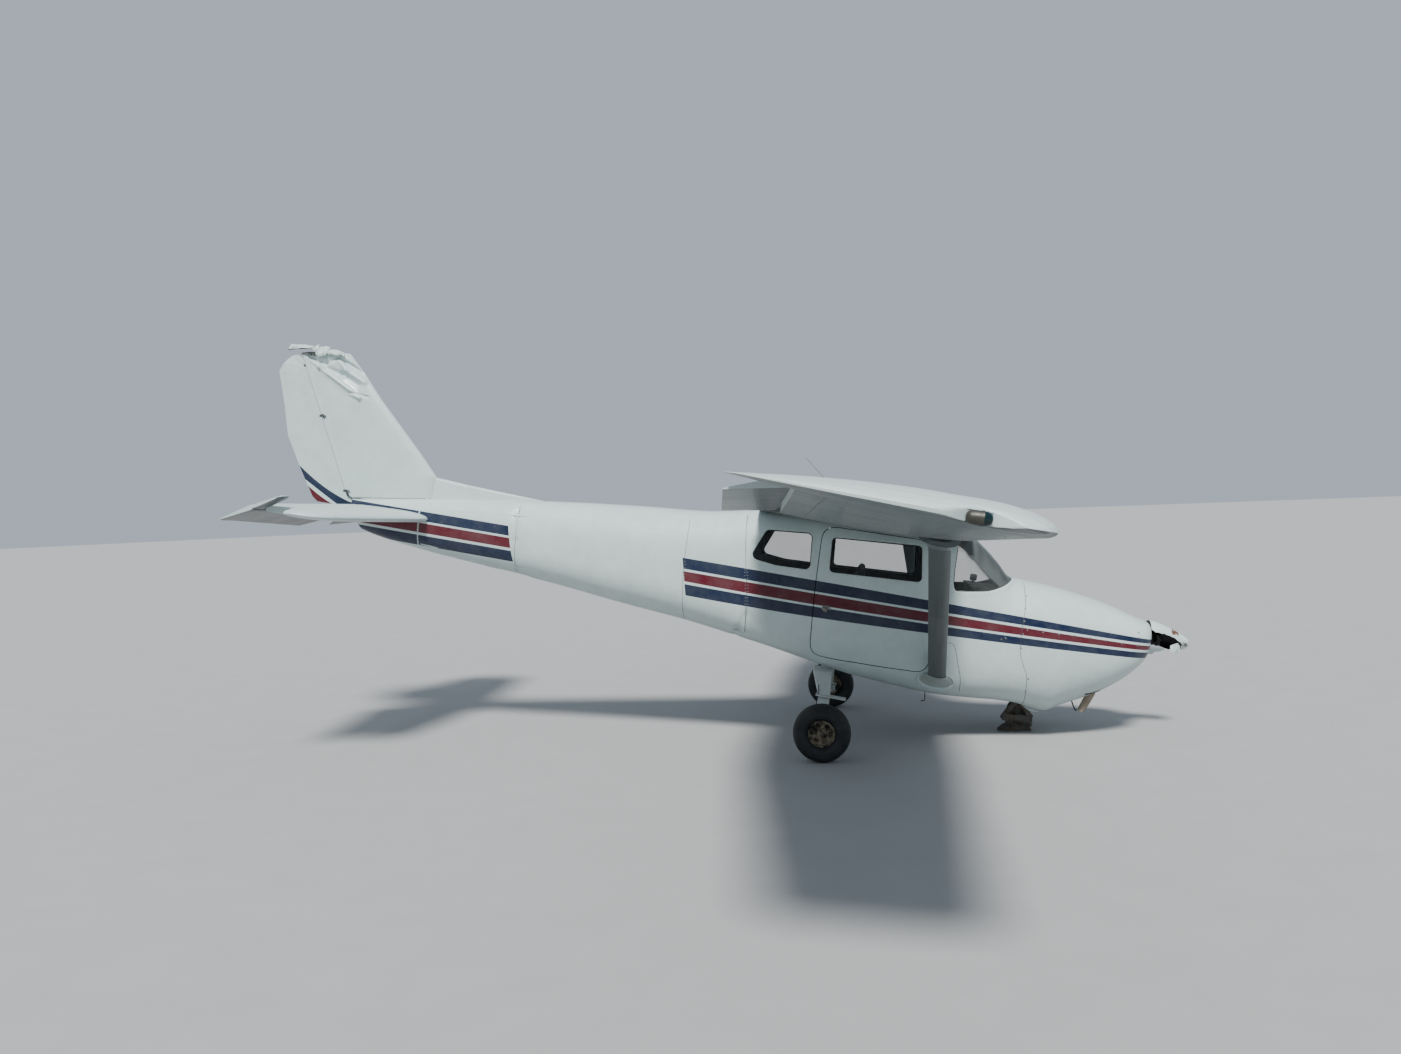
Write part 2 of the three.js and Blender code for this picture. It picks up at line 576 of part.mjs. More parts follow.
const horn = loft(hornRows.map(([y, reach, thick]) => hornSection.map(([u, w]) => {
  const forward = u * hornLength * reach;
  const up = w * thick;
  return new THREE.Vector3(
    tailplane.hingeX + forward * Math.cos(elevatorTilt) - up * Math.sin(elevatorTilt), y,
    tailplane.z + forward * Math.sin(elevatorTilt) + up * Math.cos(elevatorTilt));
})));
addPair("elevator", join(elevatorBlank, horn), paint);
add("elevator_tube", rod(
  [tailplane.hingeX, -(118 - gap), tailplane.z], [tailplane.hingeX, 118 - gap, tailplane.z],
  torqueTube.radius, 16), steel);

// Wings with bays for flap and aileron
const surfaceNose = { flap: 46, aileronInner: 38, aileronOuter: 21 };
const flapHinge = (y) => {
  const s = wingStation(y);
  const part = 1 - flapSpan.chord / (s.lead - s.trail);
  const p = wingPoint(s, part, 1).add(wingPoint(s, part, -1)).divideScalar(2);
  return { x: p.x, z: p.z, chord: flapSpan.chord };
};
const aileronChordPart = 0.2;
const aileronHinge = (y) => {
  const s = wingStation(y);
  const chord = (s.lead - s.trail) * aileronChordPart;
  const part = 1 - aileronChordPart;
  const p = wingPoint(s, part, 1).add(wingPoint(s, part, -1)).divideScalar(2);
  return { x: p.x, z: p.z, chord };
};
function bay(span, hinge, innerNose, outerNose) {
  const [a, b] = [hinge(span.inner), hinge(span.outer)];
  return planSlab([
    [a.x + innerNose + runningGap + 2, span.inner - runningGap],
    [b.x + outerNose + runningGap + 2, span.outer + runningGap],
    [-2600, span.outer + runningGap],
    [-2600, span.inner - runningGap],
  ], 1300, 2100);
}
// Hinge pins in line with a surface's hinge, past each of its ends
const surfacePin = { radius: 6, bore: 6.5, reach: 12 };
function endPins(span, hinge, grow) {
  const [a, b] = [span.inner, span.outer].map((y) => new THREE.Vector3(hinge(y).x, y, hinge(y).z));
  const along = b.clone().sub(a).normalize();
  const pin = (end, sense) => rod(
    end.clone().addScaledVector(along, -sense * 20).toArray(),
    end.clone().addScaledVector(along, sense * (surfacePin.reach + grow)).toArray(),
    grow > 0 ? surfacePin.bore : surfacePin.radius, 12);
  return [pin(a, -1), pin(b, 1)];
}
const wingBlank = cut(
  wingSolid(),
  ...endPins(flapSpan, flapHinge, gap),
  ...endPins(aileronSpan, aileronHinge, gap),
  bay(flapSpan, flapHinge, surfaceNose.flap, surfaceNose.flap),
  bay(aileronSpan, aileronHinge, surfaceNose.aileronInner, surfaceNose.aileronOuter),
);
const lampSeat = { x: -1063, y: 5478, z: 1716 };
const lampShape = (grow) => rod(
  [lampSeat.x - 42 - grow, lampSeat.y, lampSeat.z], [lampSeat.x + 42 + grow, lampSeat.y, lampSeat.z],
  25 + grow, 14, 23 + grow);
const lamp = lampShape(0);
addPair("wing", cut(wingBlank, lampShape(gap)), paint);
function controlSurface(span, hinge, innerNose, outerNose, tiltDegrees) {
  const tilt = THREE.MathUtils.degToRad(tiltDegrees);
  const slope = -wing.incidence;
  const blade = loft([[span.inner, innerNose], [span.outer, outerNose]].map(([y, nose]) => {
    const { x, z, chord } = hinge(y);
    return surfaceRing({ x, y, z, nose, chord, tilt: tilt - slope });
  }));
  return join(blade, ...endPins(span, hinge, 0));
}
const flapBlank = controlSurface(flapSpan, flapHinge, surfaceNose.flap, surfaceNose.flap, flapSpan.rest);
addPair("flap", flapBlank, paint);
const aileronDown = controlSurface(
  aileronSpan, aileronHinge, surfaceNose.aileronInner, surfaceNose.aileronOuter, aileronSpan.restDown);
const aileronUp = controlSurface(
  aileronSpan, aileronHinge, surfaceNose.aileronInner, surfaceNose.aileronOuter, -aileronSpan.restUp);
add("aileron_left", aileronUp, paint);
add("aileron_right", mirrored(aileronDown), paint);
addPair("nav_light", lamp, greenLens, redLens);

// Wing struts: streamlined tubes from the fuselage's lower edge to the wing's lower skin
function strutRing([x, y, z], grow = 0, scale = 1) {
  const points = [];
  const along = new THREE.Vector3(...strut.head).sub(new THREE.Vector3(...strut.foot)).normalize();
  const chordwise = new THREE.Vector3(1, 0, 0).addScaledVector(along, -along.x).normalize();
  const across = along.clone().cross(chordwise);
  const sides = 16;
  for (let i = 0; i < sides; i += 1) {
    const a = 2 * Math.PI * i / sides;
    points.push(new THREE.Vector3(x, y, z)
      .addScaledVector(chordwise, (strut.chord / 2 * scale + grow) * Math.cos(a))
      .addScaledVector(across, (strut.thickness / 2 * scale + grow) * Math.sin(a)));
  }
  return points;
}
const strutAt = (t) => strut.foot.map((v, i) => v + (strut.head[i] - v) * t);
const bodyGrown = openBody(cabinSections, -gap, 0, 0);
const wingGrown = wingSolid(gap);
const strutTube = loft([strutRing(strutAt(0)), strutRing(strutAt(1.04))]);
addPair("strut", cut(strutTube, wingGrown, bodyGrown), greyPaint);
const cuffRings = [
  strutRing(strutAt(-0.045), 0, 2.1),
  strutRing(strutAt(-0.03), 0, 2.12),
  strutRing(strutAt(-0.008), 0, 1.9),
  strutRing(strutAt(0.012), 0, 1.3),
];
addPair("strut_cuff", cut(
  loft(cuffRings), loft([strutRing(strutAt(-0.2), gap), strutRing(strutAt(0.3), gap)]), bodyGrown,
  sideHole(doorOutline, cornerRadius.door, runningGap, 300)), paint);

// Engine block, mount tubes and propeller boss behind the nose bowl
const firewall = { front: cabinFront - 4, rear: cabinFront - 14 };
add("firewall", common(
  box(firewall.rear, firewall.front, -700, 700, 200, 1500),
  openBody(cabinSections, wall + gap, 0, 0)), steel);
const engine = { front: 790, rear: 130, half: 250, low: 720, high: 1075 };
const mountTubes = [[200, 760], [200, 1040], [-200, 760], [-200, 1040]].map(([y, z]) => (
  rod([engine.rear + 5, y, z], [firewall.front + gap, y, z], 16, 10)));
const shaftEnd = 952;
const shaft = rod([engine.front - 5, 0, thrustZ], [shaftEnd, 0, thrustZ], 42, 20);
const engineCase = box(engine.rear, engine.front, -engine.half, engine.half, engine.low, engine.high);
add("engine_block", join(engineCase, ...mountTubes, shaft), steel);

// Cowl: a thin shell in two halves, open behind, with two intakes and a hole for the shaft
const cowlOuter = bodySolid(noseSections);
const [bowlSection, ...cowlSections] = noseSections.slice(2);
const cowlRings = cowlSections.map((s) => bodyRing(s, skin));
const cowlInner = loft([
  bodyRing({ ...bowlSection, x: bowlSection.x - skin }, skin * 2),
  ...cowlRings.slice(0, -1),
  cowlRings.at(-1).map((p) => p.clone().setX(p.x - 50)),
]);
const intake = (y0, y1) => sideSlab([[850, 905], [850, 1042], [1100, 1042], [1100, 905]], y0, y1);
const cowlHoles = [
  rod([850, 0, thrustZ], [1100, 0, thrustZ], 68, 24), intake(92, 218), intake(-218, -92),
  box(-120, 60, -60, 60, 250, 420),
];
const cowlShell = cut(cowlOuter, cowlInner, ...cowlHoles);
const cowlSplitZ = 952;
add("cowl_upper", common(cowlShell, box(-200, 1300, -700, 700, cowlSplitZ + gap / 2, 1500)), paint);
add("cowl_lower", common(cowlShell, box(-200, 1300, -700, 700, 200, cowlSplitZ - gap / 2)), paint);

// Propeller hub with the stubs of its two broken blades, and what is left of the spinner
const hub = { rear: shaftEnd + gap, front: 1060, radius: 60 };
const backplate = { rear: 957, front: 963, radius: 134 };
// Blade roots, broken off inside the spinner: reach, half width, half thickness, twist
const bladeRows = [[40, 30, 17, 0.6], [84, 36, 13, 0.3], [110, 33, 9, 0.1]];
const bladeX = 1024;
const stubs = [1, -1].map((side) => loft(bladeRows.map(([reach, w, t, twist]) => (
  [[w, t], [-w, t], [-w, -t], [w, -t]].map(([a, b]) => new THREE.Vector3(
    bladeX + b * Math.cos(twist) - a * Math.sin(twist),
    side * reach,
    thrustZ + b * Math.sin(twist) + a * Math.cos(twist)))))));
add("propeller_hub", join(
  rod([hub.rear, 0, thrustZ], [hub.front, 0, thrustZ], hub.radius, 24), ...stubs,
  rod([backplate.rear, 0, thrustZ], [backplate.front, 0, thrustZ], backplate.radius, 36)), steel);
const spinnerProfile = (inset) => [
  // x from the backplate, radius
  [0, 138], [50, 134], [110, 119], [180, 97], [245, 70], [295, 50], [322, 26], [328, 0],
].map(([x, r]) => [x - (r < 40 ? inset : 0), Math.max(0, r - inset)]);
const spinnerBody = (inset, from) => {
  const profile = spinnerProfile(inset);
  const points = profile.map(([x, r]) => new THREE.Vector2(r, Math.max(x, from)));
  return new THREE.LatheGeometry([new THREE.Vector2(0, from), ...points], 28)
    .rotateZ(-Math.PI / 2)
    .translate(backplate.front + gap, 0, thrustZ);
};
// Torn open along both sides where the blades came out, with the tip and the underside left
const tornSide = sideSlab([
  [900, 1070], [1010, 1058], [1085, 1050], [1150, 1034], [1190, 1012], [1216, 985],
  [1200, 952], [1160, 928], [1110, 934], [1060, 945], [900, 950],
], -300, 300);
add("spinner_shell", cut(spinnerBody(0, 0), spinnerBody(4, -5), tornSide), paint);

// Main gear: flat spring legs, axle stubs, hubs and tyres
function legRing([x, y, z, width, slope]) {
  const thick = 11;
  const across = new THREE.Vector3(0, Math.sin(slope), Math.cos(slope)).multiplyScalar(thick);
  const centre = new THREE.Vector3(x, y, z);
  return [
    centre.clone().add(across).add(new THREE.Vector3(width / 2, 0, 0)),
    centre.clone().add(across).add(new THREE.Vector3(-width / 2, 0, 0)),
    centre.clone().sub(across).add(new THREE.Vector3(-width / 2, 0, 0)),
    centre.clone().sub(across).add(new THREE.Vector3(width / 2, 0, 0)),
  ];
}
const legRows = [
  // x, y, z, width, slope of the leaf outward and down
  [-1546, 300, 372, 150, 0.25],
  [-1546, 420, 335, 150, 0.5],
  [-1506, 600, 196, 97, 0.62],
  [-1492, 880, 14, 84, 0.5],
  [-1486, 955, -22, 84, 0.4],
];
const brake = { radius: 80, face: 72, rear: 64 }; // disc on the hub, inboard of the wheel's middle
const axleStub = rod([axle.x, 955, 0], [axle.x, axle.y + 62, 0], axle.radius, 24);
const legFoot = box(axle.x - 50, axle.x + 50, 946, 962, -45, 42);
const legStep = box(-1570, -1331, 565, 665, 186, 196);
const caliper = box(axle.x + 38, axle.x + 80, 950, axle.y - brake.face - runningGap, -28, 28);
const legSolid = join(loft(legRows.map(legRing)), legFoot, axleStub, legStep, caliper);
addPair("gear_leg", cut(legSolid, openBody(cabinSections, -gap, 0, 0)), greyPaint);
function ringProfile(points) {
  return points.map(([r, y]) => new THREE.Vector2(r, y));
}
const half = axle.tyreWidth / 2;
const bead = axle.rimRadius;
const tyre = new THREE.LatheGeometry(ringProfile([
  [bead, -half * 0.62], [bead + 26, -half * 0.86], [bead + 62, -half], [bead + 96, -half * 0.86],
  [axle.tyreRadius - 9, -half * 0.62], [axle.tyreRadius, -half * 0.3], [axle.tyreRadius, half * 0.3],
  [axle.tyreRadius - 9, half * 0.62], [bead + 96, half * 0.86], [bead + 62, half], [bead + 26, half * 0.86],
  [bead, half * 0.62], [bead, -half * 0.62],
]), 36).translate(0, axle.y, 0).translate(axle.x, 0, 0);
const boss = 52;
const hubProfile = [
  // radius, y from the wheel's middle
  [axle.bore, -brake.face], [brake.radius, -brake.face], [brake.radius, -brake.rear],
  [boss, -brake.rear], [boss, -30], [bead - 14, -30], [bead - 14, -52],
  [bead - gap, -52], [bead - gap, 52],
  [bead - 14, 52], [bead - 14, 26], [boss, 26], [boss, 46],
  [axle.bore, 46], [axle.bore, -brake.face],
];
const wheelHub = new THREE.LatheGeometry(ringProfile(hubProfile), 36).translate(axle.x, axle.y, 0);
addPair("tyre", facingOut(mergeVertices(tyre, 1e-3)), rubber);
addPair("wheel_hub", facingOut(mergeVertices(wheelHub, 1e-3)), castTan);

// Broken nose leg: the folded stump that the nose lies on
const floorZ = (x) => { // height of the ground under a point, in the airframe's frame
  const lift = -axle.tyreRadius / Math.cos(noseDown);
  return lift + (x - axle.x) * Math.tan(noseDown);
};
const stump = loft([
  [60, 400, 26], [40, 260, 26], [70, floorZ(70) + 40, 30],
].map(([x, z, r]) => [[r, r], [-r, r], [-r, -r], [r, -r]].map(([a, b]) => new THREE.Vector3(x + a, b, z))));
const footPlate = sideSlab([
  [-60, floorZ(-60)], [150, floorZ(150)],
  [150, floorZ(150) + 46], [40, floorZ(40) + 70], [-60, floorZ(-60) + 30],
], -70, 70);
const cowlGrown = openBody(noseSections, -gap, 0, 0);
add("nose_leg_stump", cut(join(stump, footPlate), cowlGrown, bodyGrown), steel);

// Exhaust stack below the cowl
const pipe = { y: -200, outer: 30, inner: 26 };
add("exhaust_stack", cut(
  rod([590, pipe.y, 575], [509, pipe.y, 347], pipe.outer, 16),
  rod([598, pipe.y, 598], [502, pipe.y, 327], pipe.inner, 16),
  cowlGrown), rust);

// Cabin interior: floor, panel, chairs, bench and baggage wall
const floorLine = [[-60, 462], [-1300, 470], [-1700, 520], [-2600, 665]];
const floorThickness = 26;
function floorTop(x) {
  const i = floorLine.findIndex(([fx]) => fx <= x);
  const [[x0, z0], [x1, z1]] = [floorLine[i - 1], floorLine[i]];
  return THREE.MathUtils.mapLinear(x, x0, x1, z0, z1);
}
const inside = openBody(cabinSections, wall + gap, -30, 0);
add("cabin_floor", common(sideSlab([
  ...floorLine, ...floorLine.slice().reverse().map(([x, z]) => [x, z - floorThickness]),
], -600, 600), inside), blackTrim);
const baggageWallX = -2505;
add("baggage_wall", common(
  box(baggageWallX - 5, baggageWallX + 5, -600, 600, floorTop(baggageWallX) + 3, 1440), inside), blackTrim);
const panelOutline = [
  [-250, 1215], [-450, 1195], [-470, 1000], [-440, 900], [-425, 900], [-440, 1170], [-250, 1190],
];
add("instrument_panel", common(sideSlab(panelOutline, -560, 560), inside), blackTrim);
const panelRoom = sideSlab(
  [[-300, 1215], ...panelOutline.slice(1, 4).map(([x, z]) => [x - gap, z]), [-300, 900]], -600, 600);
// Control wheels: open topped rims on columns out of the panel
const yoke = { x: -590, y: 225, z: 1040, radius: 130, squash: 0.8, rim: 11 };
const rimPoints = [];
for (let i = 0; i <= 16; i += 1) {
  const a = THREE.MathUtils.degToRad(145 + 250 * i / 16);
  rimPoints.push(new THREE.Vector3(
    yoke.x, yoke.y + yoke.radius * Math.cos(a), yoke.z + yoke.squash * yoke.radius * Math.sin(a)));
}
const rimSection = new THREE.Shape().absarc(0, 0, yoke.rim, 0, 2 * Math.PI, false);
const wheelRim = new THREE.ExtrudeGeometry(rimSection, {
  steps: 20, curveSegments: 4, bevelEnabled: false, extrudePath: new THREE.CatmullRomCurve3(rimPoints),
});
const wheelSpoke = box(
  yoke.x - 9, yoke.x + 9, yoke.y - yoke.radius + 8, yoke.y + yoke.radius - 8, yoke.z - 24, yoke.z + 14);
const wheelColumn = rod([yoke.x, yoke.y, yoke.z], [-440, yoke.y, yoke.z], 14, 12);
addPair("control_wheel", cut(
  join(facingOut(plainMesh(wheelRim)), wheelSpoke, wheelColumn), panelRoom), blackTrim);
// A leg from the floor up into a cushion
const chairLeg = (x, y) => box(x - 14, x + 14, y - 14, y + 14, floorTop(x - 14) + gap, 640);
function chair(y) {
  const cushion = box(-1330, -880, y - 215, y + 215, 620, 720);
  const back = sideSlab([[-1300, 690], [-1390, 690], [-1490, 1210], [-1430, 1225]], y - 210, y + 210);
  const legs = [-1280, -930].flatMap((x) => [chairLeg(x, y - 170), chairLeg(x, y + 170)]);
  return join(cushion, back, ...legs);
}
add("chair_left", chair(240), cloth);
add("chair_right", chair(-240), cloth);
const benchLegs = [-2180, -1880].flatMap((x) => [chairLeg(x, -300), chairLeg(x, 300)]);
add("rear_bench", join(
  box(-2230, -1820, -380, 380, 630, 730),
  sideSlab([[-2170, 700], [-2250, 700], [-2350, 1180], [-2290, 1190]], -375, 375),
  ...benchLegs), cloth);

// Whip antenna on the roof
add("antenna", cut(rod([-1500, 0, 1660], [-1961, 0, 2042], 4, 8, 2), roofSlab(gap)), steel);

const airframe = new THREE.Group();
airframe.add(...parts);
airframe.rotation.y = noseDown;
const stand = new THREE.Group();
stand.add(airframe);
airframe.position.z = axle.tyreRadius + axle.x * Math.sin(noseDown);
const extent = new THREE.Box3().setFromObject(stand, true);
const centre = extent.getCenter(new THREE.Vector3());
stand.position.x = -centre.x;

export default stand;
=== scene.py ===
import json
import math

import bpy
import numpy as np
from mathutils import Matrix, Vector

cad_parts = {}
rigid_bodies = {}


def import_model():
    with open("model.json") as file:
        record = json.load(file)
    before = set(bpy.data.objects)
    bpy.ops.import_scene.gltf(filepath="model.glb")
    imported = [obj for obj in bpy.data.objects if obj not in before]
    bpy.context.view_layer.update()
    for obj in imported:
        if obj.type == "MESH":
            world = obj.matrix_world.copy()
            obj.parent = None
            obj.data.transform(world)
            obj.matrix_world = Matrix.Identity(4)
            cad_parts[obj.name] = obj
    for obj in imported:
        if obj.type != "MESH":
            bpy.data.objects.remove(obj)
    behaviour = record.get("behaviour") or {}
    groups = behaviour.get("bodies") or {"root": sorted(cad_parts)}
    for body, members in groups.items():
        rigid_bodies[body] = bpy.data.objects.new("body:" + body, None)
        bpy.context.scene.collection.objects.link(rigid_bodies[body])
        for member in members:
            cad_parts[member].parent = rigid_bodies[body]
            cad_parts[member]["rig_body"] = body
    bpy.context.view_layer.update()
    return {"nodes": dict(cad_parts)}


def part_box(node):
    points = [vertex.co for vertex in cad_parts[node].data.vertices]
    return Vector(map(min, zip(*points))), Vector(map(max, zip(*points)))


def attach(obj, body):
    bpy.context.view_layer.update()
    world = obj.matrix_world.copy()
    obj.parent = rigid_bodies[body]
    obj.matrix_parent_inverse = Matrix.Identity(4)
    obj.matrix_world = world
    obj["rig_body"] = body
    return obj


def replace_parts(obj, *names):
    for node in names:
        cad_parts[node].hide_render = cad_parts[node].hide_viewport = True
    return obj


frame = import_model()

# The ground, the light and the camera.
# The aircraft stands on a plain pale floor under a wide soft sky, with one soft sun high on its right.
# It is pitched nose down about its main axle. Its own frame is in millimetres: x forward from the
# firewall, y to the left wing and z up from the axle.
nose_down = math.radians(10.57)
turn_cos, turn_sin = math.cos(nose_down), math.sin(nose_down)
firewall_ahead = 1.473  # metres ahead of the axle
hub_low, hub_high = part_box("wheel_hub_left")
axle_x, axle_z = (hub_low.x + hub_high.x) / 2, (hub_low.z + hub_high.z) / 2


class Wire:
    """A socket of a material. Sums and products of wires add Math nodes; node() adds any other node."""

    def __init__(self, tree, socket=None):
        self.tree, self.socket = tree, socket

    def node(self, kind, settings=None, inputs=None, out=0):
        made = self.tree.nodes.new(kind)
        for key, value in (settings or {}).items():
            setattr(made, key, value)
        for key, value in (inputs or {}).items():
            if isinstance(value, Wire):
                self.tree.links.new(value.socket, made.inputs[key])
            else:
                made.inputs[key].default_value = value
        return Wire(self.tree, made.outputs[out])

    def also(self, name):
        return Wire(self.tree, self.socket.node.outputs[name])

    def place(self):
        return self.node("ShaderNodeTexCoord", out="Object")

    def math(self, operation, *values, clamp=False):
        wires = dict(enumerate((self, *values)))
        return self.node("ShaderNodeMath", {"operation": operation, "use_clamp": clamp}, wires)

    def __add__(self, other):
        return self.math("ADD", other)

    def __sub__(self, other):
        return self.math("SUBTRACT", other)

    def __rsub__(self, other):
        return (self * -1) + other

    def __mul__(self, other):
        return self.math("MULTIPLY", other)

    def __truediv__(self, other):
        return self.math("DIVIDE", other)

    __radd__, __rmul__ = __add__, __mul__

    def above(self, level, blur):
        """0 where the value is below level and 1 where it is above, over a width of blur."""
        return ((self - level) / blur + 0.5).math("ADD", 0.0, clamp=True)

    def between(self, low, high, blur):
        return self.above(low, blur) * (1 - self.above(high, blur))

    def pick(self, zero, one):
        """Colour zero where this mask is 0, and colour one where it is 1."""
        return self.node("ShaderNodeMix", {"data_type": "RGBA"}, {0: self, 6: zero, 7: one}, out=2)

    def noise(self, place, scale, detail=3.0, rough=0.5):
        return self.node("ShaderNodeTexNoise", None, {
            "Vector": place, "Scale": scale, "Detail": detail, "Roughness": rough})

    def bump(self, distance, strength=1.0):
        return self.node("ShaderNodeBump", None, {
            "Height": self, "Distance": distance, "Strength": strength})


def finish_of(name, recipe):
    """A material: recipe takes a first wire and returns the Principled shader's sockets by name."""
    material = bpy.data.materials.new(name)
    material.use_nodes = True
    tree = material.node_tree
    shader = tree.nodes["Principled BSDF"]
    for key, value in recipe(Wire(tree)).items():
        if isinstance(value, Wire):
            tree.links.new(value.socket, shader.inputs[key])
        else:
            shader.inputs[key].default_value = value
    return material


def mottled(name, noise, low, high, rough, bump=None, **rest):
    """A finish of two colours mixed by one noise, given as its scale, detail and roughness. The noise
    also drives the gloss, where rough is a share and a base, and the bump by distance and strength."""
    def recipe(start):
        speck = start.noise(start.place(), *noise)
        sockets = {"Base Color": speck.pick((*low, 1), (*high, 1)), **rest}
        sockets["Roughness"] = speck * rough[0] + rough[1] if isinstance(rough, tuple) else rough
        if bump:
            sockets["Normal"] = speck.bump(*bump)
        return sockets
    return finish_of(name, recipe)


floor_mesh = bpy.data.meshes.new("studio_floor")
floor_mesh.from_pydata([(-160, -40, 0), (160, -40, 0), (160, 280, 0), (-160, 280, 0)], [], [(0, 1, 2, 3)])
floor_finish = mottled("floor_paint", (3.0, 6.0), (0.34, 0.345, 0.35), (0.38, 0.385, 0.39), 0.95)
floor_mesh.materials.append(floor_finish)
studio_floor = bpy.data.objects.new("studio_floor", floor_mesh)
bpy.context.scene.collection.objects.link(studio_floor)

world = bpy.data.worlds.new("sky")
bpy.context.scene.world = world
world.use_nodes = True
background = world.node_tree.nodes["Background"]
background.inputs["Color"].default_value = (0.72, 0.83, 0.95, 1)
background.inputs["Strength"].default_value = 0.62


def unit(vectors):
    """Vectors scaled to length 1."""
    return vectors / np.linalg.norm(vectors, axis=-1, keepdims=True)


sun = bpy.data.lights.new("high_sun", "SUN")
sun.energy, sun.angle, sun.color = 5.4, math.radians(12), (1.0, 0.98, 0.94)
sun_light = bpy.data.objects.new("high_sun", sun)
toward = unit(np.array([0.05, -0.72, 1.0]))
across = unit(np.cross((0.0, 1.0, 0.0), toward))
axes = np.stack([across, np.cross(toward, across), toward], 1)
sun_light.matrix_world = Matrix.Translation((0, -7, 9)) @ Matrix(axes.tolist()).to_4x4()
bpy.context.scene.collection.objects.link(sun_light)

camera_data = bpy.data.cameras.new("photo_camera")
camera_data.sensor_fit = "HORIZONTAL"
camera_data.sensor_width = 36.0
focal_pixels, photo_pixels = 1041.7, 1401  # focal length and width of the photograph
camera_data.lens = camera_data.sensor_width * focal_pixels / photo_pixels
camera = bpy.data.objects.new("photo_camera", camera_data)
bpy.context.scene.collection.objects.link(camera)
view = unit(np.array([-0.1546, 0.9879, -0.0125]))
across = unit(np.cross(view, [0.0336, 0.0179, 0.9993]))
axes = np.stack([across, np.cross(across, view), -view], 1)
camera.matrix_world = Matrix.Translation((axle_x + 0.357, -8.843, 1.871)) @ Matrix(axes.tolist()).to_4x4()
bpy.context.scene.camera = camera

# The fuselage skins: cowl halves, cabin, doors and tailcone.
# They are thin painted aluminium sheet, riveted along frames and seams. Bands of navy and maroon with
# white lines run along the sides. The right side of the tailcone is folded in and dented.
# Each row: x, top, bottom, half width, widest point, squareness above and below, lean of the sides
body_rows = np.array([
    [948, 1108, 862, 196, 975, 2.2, 2.1, 0], [941, 1120, 830, 240, 970, 2.3, 2.2, 0],
    [918, 1129, 785, 290, 962, 2.4, 2.3, 0], [870, 1140, 722, 338, 950, 2.5, 2.4, 0],
    [785, 1166, 634, 388, 930, 2.5, 2.5, 0], [610, 1216, 498, 434, 900, 2.6, 2.6, 0],
    [340, 1266, 350, 480, 860, 2.7, 2.8, 0], [221, 1282, 290, 496, 840, 2.8, 2.9, 0],
    [100, 1294, 302, 509, 820, 2.8, 3.0, 0], [-25, 1302, 320, 520, 800, 2.9, 3.2, 0],
    [-165, 1312, 318, 529, 800, 2.8, 3.4, 0], [-300, 1432, 308, 535, 800, 2.6, 3.6, 0],
    [-420, 1532, 300, 539, 800, 2.8, 3.8, 0.02], [-520, 1592, 295, 542, 800, 3.4, 4.0, 0.04],
    [-660, 1605, 290, 545, 800, 5.0, 4.2, 0.06], [-900, 1600, 303, 547, 800, 6.0, 4.4, 0.07],
    [-1300, 1600, 333, 545, 810, 6.0, 4.4, 0.07], [-1700, 1595, 392, 535, 830, 6.0, 4.0, 0.07],
    [-2050, 1580, 447, 514, 850, 5.0, 3.6, 0.06], [-2286, 1555, 476, 494, 870, 4.0, 3.3, 0.04],
    [-2500, 1510, 503, 474, 890, 3.4, 3.0, 0.02], [-2750, 1472, 532, 448, 910, 3.0, 2.8, 0],
    [-3300, 1431, 578, 388, 940, 2.6, 2.6, 0], [-3988, 1366, 650, 312, 970, 2.5, 2.5, 0],
    [-4623, 1288, 702, 240, 990, 2.4, 2.4, 0], [-5230, 1210, 752, 168, 1000, 2.3, 2.4, 0],
    [-5700, 1146, 818, 112, 1000, 2.3, 2.4, 0], [-6010, 1100, 905, 66, 1000, 2.2, 2.4, 0],
], float)[::-1]
stations = np.linspace(-6010, 948, 1393)
compass = np.radians(np.arange(-180, 180.5, 0.5))


def round_angles(count):
    """Even angles round a full turn."""
    return np.linspace(0, 2 * np.pi, count, endpoint=False)


def smooth_through(x, y, at):
    """A cubic through the columns of a table that never overshoots them (slopes are harmonic means)."""
    step = np.diff(x)[:, None]
    slope = np.diff(y, axis=0) / step
    inner = np.where(slope[1:] * slope[:-1] > 0,
                     2 * slope[1:] * slope[:-1] / (slope[1:] + slope[:-1] + 1e-12), 0)
    tangent = np.concatenate([slope[:1], inner, slope[-1:]])
    k = np.clip(np.searchsorted(x, at) - 1, 0, len(x) - 2)
    t = ((at - x[k]) / np.diff(x)[k])[:, None]
    h = step[k]
    return ((1 + 2 * t) * (1 - t) ** 2 * y[k] + t * (1 - t) ** 2 * h * tangent[k]
            + t ** 2 * (3 - 2 * t) * y[k + 1] + t ** 2 * (t - 1) * h * tangent[k + 1])


def body_ring(rows, angle):
    """Super-ellipse ring of each row at the given angles: y and z minus the height of the widest point."""
    top, bottom, half, wide, up, low, lean = (rows[:, k, None] for k in range(1, 8))
    c, n = np.cos(angle), np.sin(angle)
    power = 2 / np.where(n > 0, up, low)
    rise = np.where(n > 0, top - wide, wide - bottom)
    z = rise * np.sign(n) * np.abs(n) ** power
    y = half * np.where(n > 0, 1 - lean * z / rise, 1) * np.sign(c) * np.abs(c) ** power
    return y, z


def ring_radius(y, z):
    """Distance from the ring's middle as a function of the compass angle, one row for each station."""
    bearing, reach = np.arctan2(z, y), np.hypot(y, z)
    return np.stack([np.interp(compass, b, r, period=2 * np.pi) for b, r in zip(bearing, reach)])


